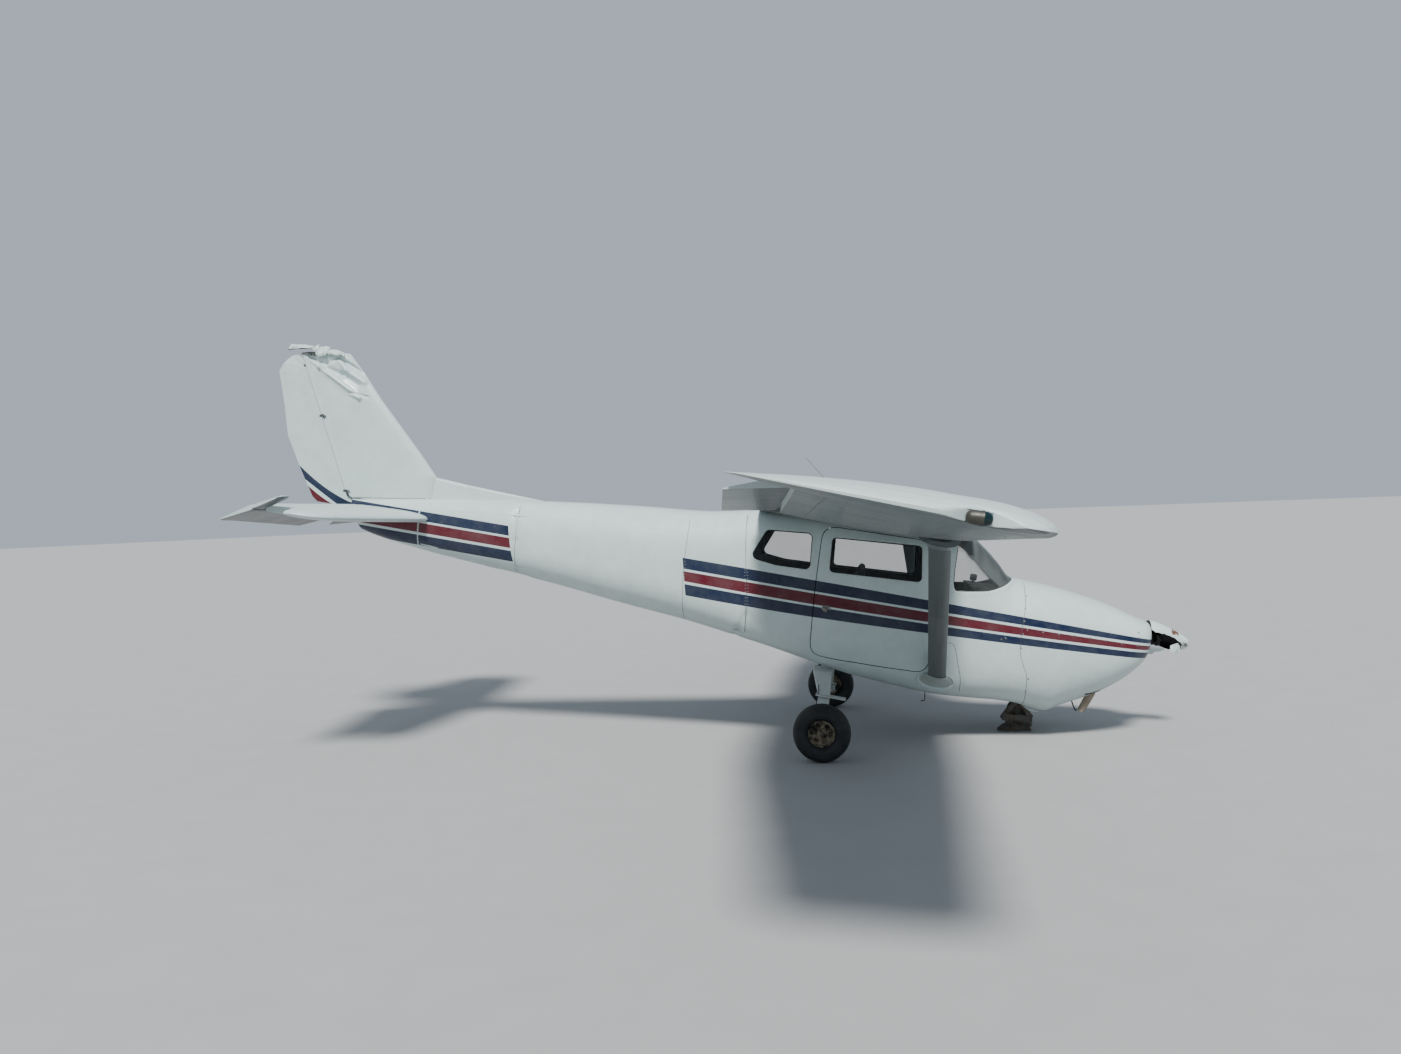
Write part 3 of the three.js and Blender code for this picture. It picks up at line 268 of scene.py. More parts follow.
fine_rows = np.column_stack([stations, smooth_through(body_rows[:, 0], body_rows[:, 1:], stations)])
smooth_radius = ring_radius(*body_ring(fine_rows, round_angles(1440) + 0.001))
corner_y, corner_z = body_ring(body_rows, 2 * np.pi * (np.arange(24) + 0.5) / 24)
corner_z = corner_z + body_rows[:, 4, None]
share = np.linspace(0, 1, 40, endpoint=False)


def between_sections(values):
    """Ring corners carried straight from section to section, and straight from corner to corner."""
    at = np.stack([np.interp(stations, body_rows[:, 0], column) for column in values.T], 1)
    after = np.roll(at, -1, axis=1)
    return (at[..., None] * (1 - share) + after[..., None] * share).reshape(len(stations), -1)


cad_middle = np.interp(stations, body_rows[:, 0], body_rows[:, 4])
cad_radius = ring_radius(between_sections(corner_y), between_sections(corner_z) - cad_middle[:, None])


def look_up(table, x, bearing):
    """Bilinear value of a station by compass table."""
    i = np.clip((x - stations[0]) / (stations[1] - stations[0]), 0, len(stations) - 1.001)
    j = np.clip((bearing + np.pi) / (compass[1] - compass[0]), 0, len(compass) - 1.001)
    i0, j0 = i.astype(int), j.astype(int)
    fi, fj = i - i0, j - j0
    return (table[i0, j0] * (1 - fi) * (1 - fj) + table[i0 + 1, j0] * fi * (1 - fj)
            + table[i0, j0 + 1] * (1 - fi) * fj + table[i0 + 1, j0 + 1] * fi * fj)


# Dents and folds pressed into the right side: from x, z to x, z, then half width and depth
body_dents = [
    (-4272, 690, -4300, 980, 34, 9), (-4300, 980, -4330, 1225, 30, 6), (-4330, 1225, -4230, 1262, 40, 10),
    (-4230, 640, -4420, 660, 50, 12), (-2215, 720, -2275, 560, 26, 7), (-2275, 560, -2330, 440, 30, 9),
    (-2215, 700, -2080, 640, 30, 4), (-2350, 1500, -2600, 1440, 40, 5), (-2450, 1490, -2520, 1380, 26, 4),
]


def pressed_in(x, z, dents):
    """Sum of rounded valleys along segments of the side view; a dent of negative depth is a ridge."""
    depth = np.zeros(len(x))
    for x0, z0, x1, z1, width, deep in dents:
        run, rise = x1 - x0, z1 - z0
        t = np.clip(((x - x0) * run + (z - z0) * rise) / (run ** 2 + rise ** 2), 0, 1)
        away = np.hypot(x - x0 - t * run, z - z0 - t * rise)
        depth += deep * np.exp(-(away / width) ** 2)
    return depth


def dented(p):
    """Depth of the dents under the points, all of them on the right side."""
    return pressed_in(p[:, 0], p[:, 2], body_dents) * np.clip(-p[:, 1] / 60, 0, 1)


def body_height(p):
    """Height of the points over the smooth skin, along the ring's radius."""
    middle = np.interp(p[:, 0], stations, fine_rows[:, 4])
    reach = np.hypot(p[:, 1], p[:, 2] - middle)
    bearing = np.arctan2(p[:, 2] - middle, p[:, 1])
    return reach - look_up(smooth_radius, p[:, 0], bearing) + dented(p)


def body_normal(p):
    """Slope of body_height, by differences over 24 mm."""
    steps = np.eye(3) * 12
    return unit(np.stack([body_height(p + s) - body_height(p - s) for s in steps], -1))


def onto_body(p):
    """Points of a CAD skin moved along the ring's radius, from its flat facets to the smooth skin."""
    middle = np.interp(p[:, 0], stations, fine_rows[:, 4])
    dy, dz = p[:, 1], p[:, 2] - np.interp(p[:, 0], stations, cad_middle)
    bearing = np.arctan2(dz, dy)
    flat, round_one = look_up(cad_radius, p[:, 0], bearing), look_up(smooth_radius, p[:, 0], bearing)
    part = np.hypot(dy, dz) / flat
    reach = np.where(np.abs(part - 1) < 0.004, 1, part) * round_one
    reach = np.maximum(reach - dented(p), 0)
    return np.stack([p[:, 0], reach * np.cos(bearing), middle + reach * np.sin(bearing)], 1)


def to_row(points):
    """Airframe millimetres turned by the pitch about the axle, in metres of the row frame."""
    p = np.asarray(points, float) / 1000
    ahead = p[..., 0] + firewall_ahead
    x = axle_x + ahead * turn_cos + p[..., 2] * turn_sin
    z = axle_z - ahead * turn_sin + p[..., 2] * turn_cos
    return np.stack([x, p[..., 1], z], -1)


def cad_triangles(node):
    """A CAD node's corners with doubles merged, in airframe millimetres, and its triangles."""
    mesh = frame["nodes"][node].data
    co, tri = np.empty(len(mesh.vertices) * 3), np.empty(len(mesh.loops), int)
    mesh.vertices.foreach_get("co", co)
    mesh.loops.foreach_get("vertex_index", tri)
    _, first, same = np.unique(np.round(co.reshape(-1, 3), 5), axis=0, return_index=True,
                               return_inverse=True)
    co, tri = co.reshape(-1, 3)[first], same.reshape(-1)[tri].reshape(-1, 3)
    tri = tri[(tri[:, 0] != tri[:, 1]) & (tri[:, 1] != tri[:, 2]) & (tri[:, 2] != tri[:, 0])]
    east, up = co[:, 0] - axle_x, co[:, 2] - axle_z
    ahead = east * turn_cos - up * turn_sin - firewall_ahead
    return np.stack([ahead, co[:, 1], east * turn_sin + up * turn_cos], -1) * 1000, tri


def halved(co, tri, measure):
    """Triangles cut at the middle of their long edges, until measure(points) finds none over 1."""
    for _ in range(12):
        edges = np.sort(tri[:, [[0, 1], [1, 2], [2, 0]]].reshape(-1, 2), axis=1)
        pairs, which = np.unique(edges, axis=0, return_inverse=True)
        sized = measure(co)
        long = np.linalg.norm(sized[pairs[:, 0]] - sized[pairs[:, 1]], axis=1) > 1
        if not long.any():
            break
        middle = np.full(len(pairs), -1)
        middle[long] = len(co) + np.arange(long.sum())
        co = np.concatenate([co, co[pairs[long]].mean(1)])
        cut = middle[which.reshape(-1)].reshape(-1, 3)
        count = (cut >= 0).sum(1)
        parts = [tri[count == 0]]
        for number in (1, 2, 3):
            t, m = tri[count == number], cut[count == number]
            first = np.argmax(m >= 0, axis=1) if number == 1 else (np.argmin(m, axis=1) + 1) % 3
            order = (first[:, None] + np.arange(3)) % 3
            (a, b, c), (p, q, r) = np.take_along_axis(t, order, 1).T, np.take_along_axis(m, order, 1).T
            new = {1: [(a, p, c), (p, b, c)], 2: [(p, b, q), (a, p, q), (a, q, c)],
                   3: [(a, p, r), (p, b, q), (r, q, c), (p, q, r)]}[number]
            parts += [np.stack(corners, 1) for corners in new]
        tri = np.concatenate(parts)
    return co, tri


def as_piece(name, points, faces, material, body, slot, sharp=35, side=1):
    """A mesh of triangles over airframe points, riding on its body. side -1 mirrors it to the right.
    Edges that turn by more than sharp degrees stay crisp."""
    points, faces = np.asarray(points, float) * (1, side, 1), np.asarray(faces)[:, ::side]
    mesh = bpy.data.meshes.new(name)
    mesh.from_pydata(to_row(points).tolist(), [], faces.tolist())
    mesh.materials.append(material)
    mesh.shade_smooth()
    if sharp < 180:
        mesh.set_sharp_from_angle(angle=math.radians(sharp))
    piece = bpy.data.objects.new(name, mesh)
    bpy.context.scene.collection.objects.link(piece)
    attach(piece, body)
    return piece


def dressed(node, material, slot, measure, moved=lambda p: p, sharp=35):
    """The node's own form with long edges halved and its points moved, in place of the node."""
    co, tri = halved(*cad_triangles(node), measure)
    co = moved(co)
    piece = as_piece(f"{node}_skin", co, tri, material, frame["nodes"][node]["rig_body"], slot, sharp)
    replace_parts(piece, node)
    return piece, co, tri


def body_skin(node, longest, material, slot):
    """A skin of the fuselage, shaded by the smooth body's slope. Its depth below the skin is kept."""
    piece, co, tri = dressed(node, material, slot, lambda p: p / longest, onto_body, 180)
    corner = co[tri]
    face = np.cross(corner[:, 1] - corner[:, 0], corner[:, 2] - corner[:, 0])
    face = (face / np.maximum(np.linalg.norm(face, axis=1, keepdims=True), 1e-9))[:, None]
    slope = body_normal(co)[tri]
    facing = (slope * face).sum(-1, keepdims=True)
    sides = np.where(facing > 0.86, slope, np.where(facing < -0.86, -slope, face))
    turned = (to_row(sides) - to_row(np.zeros(3))) * 1000
    piece.data.normals_split_custom_set(turned.reshape(-1, 3).tolist())
    depth = piece.data.attributes.new("depth", "FLOAT", "POINT")
    depth.data.foreach_set("value", -body_height(co))


white_paint = (0.54, 0.645, 0.640, 1)
navy_paint = (0.0015, 0.010, 0.042, 1)
maroon_paint = (0.095, 0.002, 0.012, 1)
# Edges of the bands: x, then heights of the upper navy, maroon and lower navy band, in metres
band_table = np.array([
    [-2.763, 1.076, 0.989, 0.969, 0.888, 0.866, 0.775], [-2.160, 1.075, 0.985, 0.967, 0.881, 0.863, 0.774],
    [-1.200, 1.063, 0.982, 0.965, 0.884, 0.868, 0.790], [-0.419, 1.044, 0.978, 0.960, 0.892, 0.875, 0.812],
    [0.042, 1.038, 0.980, 0.960, 0.905, 0.885, 0.829], [0.350, 1.029, 0.979, 0.958, 0.911, 0.892, 0.841],
    [0.662, 1.016, 0.977, 0.958, 0.918, 0.898, 0.852], [0.825, 1.009, 0.974, 0.956, 0.919, 0.900, 0.852],
])
band_curves = [np.polyfit(band_table[:, 0], band_table[:, k], 3) for k in range(1, 7)]
tail_bands = (1.099, 1.016, 0.998, 0.913, 0.890, 0.798)
blur = 0.0016  # width of a painted edge, in metres


def airframe_place(start):
    """Wires for the place on the airframe, in metres: x, y, z, and the row frame's vector."""
    place = start.place()
    east = start.node("ShaderNodeSeparateXYZ", None, {0: place}, out="X")
    y, up = east.also("Y"), east.also("Z") - axle_z
    east = east - axle_x
    return east * turn_cos - up * turn_sin - firewall_ahead, y, east * turn_sin + up * turn_cos, place


def curve_of(wire, terms):
    """A polynomial of a wire, highest power first."""
    total = wire * float(terms[0]) + float(terms[1])
    for term in terms[2:]:
        total = total * wire + float(term)
    return total


def worn_paint(start, place, height, colour, gloss=0.33):
    """Old gloss paint: faint mottling, grey dirt in patches, a grey darkening towards the bottom, and a wavy
    skin.
    """
    mottle = start.noise(place, 2.2, 6.0, 0.62)
    grime = start.noise(place, 9.0, 8.0, 0.7)
    low = (1 - height.above(0.62, 0.5)) * 0.35
    darkening = (grime * 0.5 + mottle * 0.35 - 0.33 + low * 0.5).math("MULTIPLY", 0.75, clamp=True)
    wave = start.noise(place, 5.5, 2.0, 0.4) * 0.7 + start.noise(place, 22.0, 2.0, 0.5) * 0.12
    return {"Base Color": darkening.pick(colour, (0.20, 0.215, 0.20, 1)), "Roughness": darkening * 0.5 + gloss,
            "Normal": wave.bump(0.010, 0.5), "Specular IOR Level": 0.35, "Coat Weight": 0.10,
            "Coat Roughness": 0.12}


def banded_skin(start):
    """Paint with the bands, chipped in places, and a dark lining on what lies below the skin."""
    x, _, z, place = airframe_place(start)
    # The bands end at one slanting line on the cabin and start again at another on the tailcone
    front = x.above((z * -0.233) - 2.559, blur)
    tail = 1 - x.above((z * -0.264) - 4.090, blur)
    edges = [curve_of(x, terms) for terms in band_curves]
    navy, maroon = 0.0, 0.0
    for upper, is_navy in ((0, True), (2, False), (4, True)):
        band = (z.between(edges[upper + 1], edges[upper], blur) * front
                + z.between(tail_bands[upper + 1], tail_bands[upper], blur) * tail)
        navy, maroon = (band + navy, maroon) if is_navy else (navy, band + maroon)
    chips = 1 - start.noise(place, 90.0, 4.0, 0.75).above(0.70, 0.01) * 0.7
    colour = (navy * chips).pick(white_paint, navy_paint)
    sockets = worn_paint(start, place, z, (maroon * chips).pick(colour, maroon_paint))
    inside = start.node("ShaderNodeAttribute", {"attribute_name": "depth"}, out="Fac").above(5.0, 1.0)
    weave = start.noise(place, 120.0, 3.0).pick((0.020, 0.021, 0.023, 1), (0.045, 0.045, 0.048, 1))
    sockets["Base Color"] = inside.pick(sockets["Base Color"], weave)
    sockets["Roughness"] = sockets["Roughness"] + inside * 0.5
    sockets["Coat Weight"] = (1 - inside) * 0.10
    return sockets


skin_finish = finish_of("banded_paint", banded_skin)
for node, longest in (("cabin_body", 45), ("door_left", 45), ("door_right", 45), ("tailcone", 30),
                      ("cowl_upper", 30), ("cowl_lower", 30)):
    body_skin(node, longest, skin_finish, "body_paint")

# Window panes: blown acrylic in the windshield, plain sheet in the doors and rear sides.
# The sheet is clear, a little hazy and crazed with age, and is held by frames along its edge.


def aged_acrylic(start):
    place = start.place()
    haze = start.noise(place, 6.0, 6.0, 0.65)
    glance = start.node("ShaderNodeFresnel", None, {"IOR": 1.45})
    return {"Base Color": (0.12, 0.14, 0.14, 1), "Roughness": haze * 0.08 + 0.02,
            "Alpha": (glance * 0.9 + haze * 0.06 + 0.05).math("MINIMUM", 0.85)}


pane_finish = finish_of("aged_acrylic", aged_acrylic)
for node in ("windshield", "door_glass_left", "door_glass_right", "rear_window_left", "rear_window_right"):
    body_skin(node, 40, pane_finish, "clear_acrylic")

# Window frames: white painted aluminium rims screwed round each side window, and the strip along
# the windshield's edge. A black rubber seal shows inside each rim.


def side_point(x, z, lift=0.0):
    """Points on the left side's smooth skin at heights z, lifted off it by some millimetres."""
    x, z = np.asarray(x, float), np.asarray(z, float)
    top, bottom, half, wide, up, low, lean = (np.interp(x, stations, fine_rows[:, k]) for k in range(1, 8))
    z = np.minimum(z, top - 0.005)
    high = z > wide
    rise, power = np.where(high, top - wide, wide - bottom), np.where(high, up, low)
    part = np.clip(np.abs(z - wide) / rise, 0, 0.99999)
    y = half * np.where(high, 1 - lean * part, 1) * (1 - part ** power) ** (1 / power)
    p = np.stack([x, y, z], -1)
    return p + body_normal(p.reshape(-1, 3)).reshape(p.shape) * np.asarray(lift)[..., None]


def rounded(points, rounds=3, closed=True):
    """A polyline with its corners cut again and again, each cut a quarter along its edge."""
    p = np.asarray(points, float)
    for _ in range(rounds):
        after = np.roll(p, -1, axis=0) if closed else p[1:]
        start = p if closed else p[:-1]
        cut = np.stack([start * 0.75 + after * 0.25, start * 0.25 + after * 0.75], 1).reshape(-1, p.shape[1])
        p = cut if closed else np.vstack([p[:1], cut, p[-1:]])
    return p


def spaced(points, count, closed=True):
    """count points at even distances along a polyline."""
    p = np.asarray(points, float)
    p = np.vstack([p, p[:1]]) if closed else p
    along = np.concatenate([[0], np.cumsum(np.linalg.norm(np.diff(p, axis=0), axis=1))])
    at = np.linspace(0, along[-1], count, endpoint=not closed)
    return np.stack([np.interp(at, along, column) for column in p.T], 1)


def grid_faces(rows, columns, close_rows=False, close_columns=False):
    """Triangles over a grid of points numbered row by row, joined round where a direction is closed."""
    i = np.arange(rows if close_rows else rows - 1)
    j = np.arange(columns if close_columns else columns - 1)
    a, b = (v.reshape(-1) for v in np.meshgrid(i, j, indexing="ij"))
    c, d = (a + 1) % rows, (b + 1) % columns
    one, two, three, four = a * columns + b, c * columns + b, c * columns + d, a * columns + d
    return np.concatenate([np.stack([one, two, three], 1), np.stack([one, three, four], 1)])


def turned_out(points, faces):
    """The faces of a closed form, flipped if they enclose a negative volume."""
    a, b, c = (points[faces[:, k]] for k in range(3))
    return faces if (np.cross(a, b) * c).sum() > 0 else faces[:, ::-1]


def skinned(rings, close_rows=False):
    """Points and triangles of a tube through closed rings of points, its ends closed by fans."""
    rings = np.asarray(rings, float)
    rows, columns = rings.shape[:2]
    points, faces = rings.reshape(-1, 3), grid_faces(rows, columns, close_rows, True)
    if not close_rows:
        j = np.arange(columns)
        first = np.stack([(j + 1) % columns, j, np.full(columns, rows * columns)], 1)
        last = np.stack([j, (j + 1) % columns, np.full(columns, rows * columns + 1)], 1)
        last[:, :2] += (rows - 1) * columns
        points = np.vstack([points, rings[0].mean(0), rings[-1].mean(0)])
        faces = np.concatenate([faces, first, last])
    return points, turned_out(points, faces)


def joined(parts):
    """Several forms, each of points and triangles, as one."""
    points, faces, count = [], [], 0
    for p, f in parts:
        points.append(p)
        faces.append(f + count)
        count += len(p)
    return np.vstack(points), np.vstack(faces)


def studs(points, normals, radius, height, sides=8):
    """A low dome at each point, standing on the skin along its normal."""
    points, normals = np.asarray(points, float), np.asarray(normals, float)
    across = unit(np.cross(normals, (0.31, 0.22, 0.92)))
    along = np.cross(normals, across)
    turn = 2 * np.pi * np.arange(sides) / sides
    rings = [points[:, None] + r * radius * (across[:, None] * np.cos(turn)[:, None]
             + along[:, None] * np.sin(turn)[:, None]) + normals[:, None] * h
             for r, h in ((1.0, -0.4), (0.95, height * 0.45), (0.6, height * 0.9))]
    each = np.concatenate([*rings, (points + normals * height)[:, None]], 1)
    j = np.arange(sides)
    k = (j + 1) % sides
    one = np.concatenate([
        np.stack([j, k, k + sides], 1), np.stack([j, k + sides, j + sides], 1),
        np.stack([j + sides, k + sides, k + 2 * sides], 1),
        np.stack([j + sides, k + 2 * sides, j + 2 * sides], 1),
        np.stack([j + 2 * sides, k + 2 * sides, np.full(sides, 3 * sides)], 1)])
    faces = one[None] + np.arange(len(points))[:, None, None] * (3 * sides + 1)
    return each.reshape(-1, 3), faces.reshape(-1, 3)[:, ::-1]


def plain_white(start):
    _, _, z, place = airframe_place(start)
    return worn_paint(start, place, z, white_paint)


white_finish = finish_of("plain_white_paint", plain_white)
rubber_finish = mottled("aged_rubber", (30.0, 5.0, 0.65), (0.010, 0.010, 0.011), (0.035, 0.034, 0.032), 0.75,
                        (0.002, 0.4))
screw_finish = mottled("dull_screw", (90.0, 3.0), (0.30, 0.31, 0.30), (0.12, 0.10, 0.08),
                       (0.3, 0.35), Metallic=0.8)
both_sides = ((1, "left"), (-1, "right"))
# Corners of each opening in the side view, and the radius of its corners
rear_window = [(-1752, 1134), (-2045, 1128), (-2275, 1158), (-2165, 1420), (-1776, 1450)], 55
door_window = [(-876, 1174), (-1622, 1142), (-1640, 1440), (-915, 1478)], 45


def cornered(corners, radius):
    """A closed outline whose corners are arcs."""
    p = np.asarray(corners, float)
    points = []
    for before, corner, after in zip(np.roll(p, 1, axis=0), p, np.roll(p, -1, axis=0)):
        u, w = unit(before - corner), unit(after - corner)
        half = math.acos(u @ w) / 2
        centre = corner + unit(u + w) * radius / math.sin(half)
        t = np.linspace(0, 1, 9)[:, None]
        chord = corner + (u * (1 - t) + w * t) * radius / math.tan(half)
        points.append(centre + unit(chord - centre) * radius)
    return np.vstack(points)


def window_rim(outline, width, body, name, side):
    """A rim along the outline with a turned down inner lip, a seal inside it and screws along it."""
    outer = spaced(cornered(*outline), 140)
    run = np.roll(outer, -1, axis=0) - np.roll(outer, 1, axis=0)
    inward = unit(np.stack([run[:, 1], -run[:, 0]], 1))
    inward *= np.sign((inward * (outer.mean(0) - outer)).sum(1, keepdims=True))

    def line(step, lift):
        p = outer + inward * step
        return side_point(p[:, 0], p[:, 1], np.full(len(p), float(lift)))

    rim = (-9, -1.0), (-8, 1.6), (width * 0.6, 2.2), (width, 1.2), (width, -6.0)
    seal = (width - 1, 0.6), (width + 3, 0.9), (width + 7, -0.5), (width + 7, -7.0)
    for label, steps, finish, slot in (("rim", rim, white_finish, "body_paint"),
                                       ("seal", seal, rubber_finish, "black_trim")):
        rows = np.concatenate([line(*step) for step in steps])
        faces = grid_faces(len(steps), 140, False, True)
        as_piece(f"{name}_{label}", rows, faces, finish, body, slot, 40, side)
    places = spaced(outer + inward * 2, 26)
    points = side_point(places[:, 0], places[:, 1], np.full(26, 1.8))
    screws = studs(points, body_normal(points), 3.0, 1.2)
    as_piece(f"{name}_screws", *screws, screw_finish, body, "bare_steel", 60, side)


for side, word in both_sides:
    window_rim(rear_window, 10, "airframe", f"rear_window_{word}", side)
    window_rim(door_window, 10, f"door_{word}", f"door_window_{word}", side)

# Windshield strip: a painted aluminium retainer with a row of screws, and black sealant on its edge.
# It follows the lower edge of the blown sheet from the roof down to the cowl deck and back.
sill = [(-656, 1500), (-660, 1290), (-642, 1158), (-578, 1159), (-482, 1173), (-372, 1190), (-296, 1222),
        (-240, 1253), (-175, 1297), (-163, 1309)]
flat = spaced(rounded(sill, 2, False), 900, False)
deck_middle = (-163, 0, np.interp(-163, stations, fine_rows[:, 1]))
sill_path = spaced(np.vstack([side_point(*flat.T), deck_middle]), 160, False)


def beside(path, offsets):
    """Rows of points along a path on the skin: each offset is a step across the path and a lift."""
    run = np.gradient(path, axis=0)
    across = unit(np.cross(body_normal(path), run))
    rows = []
    for step, lift in offsets:
        p = path + across * step
        for _ in range(3):
            out = body_normal(p)
            p = p - out * body_height(p)[:, None] * 0.7
        rows.append(p + out * lift)
    return np.stack(rows)


for side, word in both_sides:
    for label, offsets, finish, slot in (
            ("strip", ((34, -0.8), (32, 1.2), (4, 2), (-3, 1), (-3, -5)), white_finish, "body_paint"),
            ("sealant", ((-2, 0.6), (-5, 1.6), (-9, 0.4), (-9, -4)), rubber_finish, "black_trim")):
        rows = beside(sill_path, offsets)
        as_piece(f"windshield_{label}_{word}", rows.reshape(-1, 3), grid_faces(len(rows), 160), finish,
                 "airframe", slot, 40, side)
    points = beside(sill_path[2::5], ((18, 1.6),))[0]
    as_piece(f"windshield_screws_{word}", *studs(points, body_normal(points), 3.2, 1.3), screw_finish,
             "airframe", "bare_steel", 60, side)

# Skin seams, rivets and cowl fasteners of the fuselage.
# A seam is the thin shadow where one sheet laps over the next. Rivets follow the seams, and quarter
# turn fasteners with bare edges hold the cowl, which was left sitting a little crooked.


def seam_shadow(start):
    place = start.place()
    filled = start.noise(place, 26.0, 5.0, 0.7).above(0.52, 0.14)
    return {"Base Color": filled.pick((0.020, 0.024, 0.026, 1), (0.10, 0.11, 0.11, 1)), "Roughness": 0.9}


seam_finish = finish_of("seam_shadow", seam_shadow)
cowl_seam = [(-86, 1300), (-85, 1281), (-83, 1201), (-76, 1107), (-80, 1008), (-83, 953), (-73, 776),
             (-43, 690), (12, 596), (28, 467), (47, 332)]
body_seams = [
    [(-2814, 1387), (-2800, 1290), (-2789, 1000), (-2760, 700), (-2745, 560)],
    [(-2341, 1500), (-2300, 1200), (-2240, 900), (-2220, 703), (-2215, 560)],
    [(-616, 754), (-572, 750), (-545, 680), (-521, 599), (-480, 490), (-470, 380)],
]
lap_lines = [
    [(-3660, 1370), (-3640, 1000), (-3625, 640)], [(-4330, 1300), (-4300, 1000), (-4290, 700)],
    [(-5250, 1185), (-5230, 1000), (-5225, 780)],
    [(-2800, 1290), (-3600, 1262), (-4400, 1190), (-5200, 1130)],
    [(-2780, 640), (-3600, 700), (-4400, 760), (-5200, 810)],
    [(-740, 420), (-1300, 430), (-1900, 500), (-2700, 600)],
]


def along_line(line, pitch, more):
    """Places along a rounded line of the side view, at about one pitch, and the direction across it."""
    length = np.linalg.norm(np.diff(line, axis=0), axis=1).sum()
    path = spaced(rounded(line, 2, False), int(length / pitch) + more, False)
    run = np.gradient(path, axis=0)
    return path, unit(np.stack([run[:, 1], -run[:, 0]], 1))


def skin_ribbon(line, width, lift):
    """A low ribbon on the left side along a line of the side view."""
    path, across = along_line(line, 14, 3)
    rows = np.stack([side_point(*(path + across * step * width).T, np.full(len(path), high))
                     for step, high in ((-0.5, -0.5), (-0.3, lift), (0.3, lift), (0.5, -0.5))])
    return rows.reshape(-1, 3), grid_faces(4, len(path))[:, ::-1]


def rivet_row(line, pitch, away):
    """Places on the left side at even distances along a line, some millimetres away from it."""
    path, across = along_line(line, pitch, 2)
    return side_point(*(path + across * away).T, np.full(len(path), 0.2))


cowl_fasteners = side_point(*np.array([
    (-72, 1198), (-76, 1107), (-74, 1009), (-42, 946), (78, 947), (197, 949), (320, 957), (441, 958),
    (-69, 911), (-69, 801), (24, 572), (27, 469), (-192, 857), (-226, 846), (811, 1049), (819, 1009),
    (808, 948), (560, 955), (680, 950),
], float).T, np.full(19, 0.4))
for side, word in both_sides:
    seams = joined([skin_ribbon(line, 4.5, 0.5) for line in (*body_seams, cowl_seam)])
    as_piece(f"skin_seams_{word}", *seams, seam_finish, "airframe", "black_trim", 60, side)
    laps = joined([skin_ribbon(line, 11, 0.7) for line in lap_lines])
    as_piece(f"skin_laps_{word}", *laps, white_finish, "airframe", "body_paint", 60, side)
    rivets = np.vstack([rivet_row(line, 26, away) for line in body_seams + lap_lines for away in (-11, 11)])
    as_piece(f"skin_rivets_{word}", *studs(rivets, body_normal(rivets), 2.2, 0.8, 6), white_finish,
             "airframe", "body_paint", 60, side)
    as_piece(f"cowl_fasteners_{word}", *studs(cowl_fasteners, body_normal(cowl_fasteners), 6.5, 1.8, 12),
             screw_finish, "airframe", "bare_steel", 40, side)

# The wings and the cabin roof: riveted aluminium skins over spars and ribs, bolted on at the roots.
# The leading edge is rounded from the CAD's steps. Rows of rivets mark the spars and the ribs.
root_y, taper_y, tip_y = 556, 2540, 5283
wing_stations = np.array([  # y, lead, trail, chord line height, pitch, upper and lower thickness
    [root_y, -660, -2286, 1592, 1.5, 1, 1], [taper_y, -660, -2286, 1643.95, 1.5, 1, 1],
    [tip_y, -787, -1916, 1715.78, -2.0, 0.64, 0.86],
])
last_step = 0.985  # share of the chord where the CAD's section ends
chord_steps = np.array([0, 0.012, 0.05, 0.12, 0.22, 0.35, 0.5, 0.65, 0.78, 0.9, last_step])


def airfoil_height(x, side, upper, lower):
    """Height over the chord line as a share of the chord: a 12% section with 2% camber."""
    mean = np.where(x < 0.4, 0.125 * (0.8 * x - x * x), 0.0555556 * (0.2 + 0.8 * x - x * x))
    half = 0.6 * (0.2969 * np.sqrt(np.maximum(x, 0)) - 0.126 * x - 0.3516 * x ** 2
                  + 0.2843 * x ** 3 - 0.1036 * x ** 4)
    nose = np.clip(1 - x / 0.3, 0, 1)
    return mean + side * half * np.where(side > 0, upper + (1 - upper) * nose, lower)


def wing_lift(part, side, y, stepped):
    """Chord line height and surface height over it, carried straight between the three stations."""
    lines, lifts = [], []
    for _, lead, trail, z, pitch, upper, lower in wing_stations:
        chord = lead - trail
        lines.append(z + (0.25 - part) * chord * math.sin(math.radians(pitch)))
        if stepped:
            above, below = (np.interp(part, chord_steps, airfoil_height(chord_steps, s, upper, lower))
                            for s in (1, -1))
            height = np.where(side > 0, above, below)
        else:
            height = airfoil_height(part, side, upper, lower)
        lifts.append(height * chord)
    inner = np.clip((y - root_y) / (taper_y - root_y), 0, 1)
    outer = np.clip((y - taper_y) / (tip_y - taper_y), 0, 1)
    return [root + (taper - root) * inner + (tip - taper) * outer for root, taper, tip in (lines, lifts)]


def wing_part(p):
    """Share of the chord behind the leading edge. The tip cap keeps the tip's chord."""
    y = np.abs(p[:, 1])
    lead = np.interp(y, wing_stations[:, 0], wing_stations[:, 1])
    trail = np.interp(y, wing_stations[:, 0], wing_stations[:, 2])
    return (lead - p[:, 0]) / (lead - trail), lead, trail, y


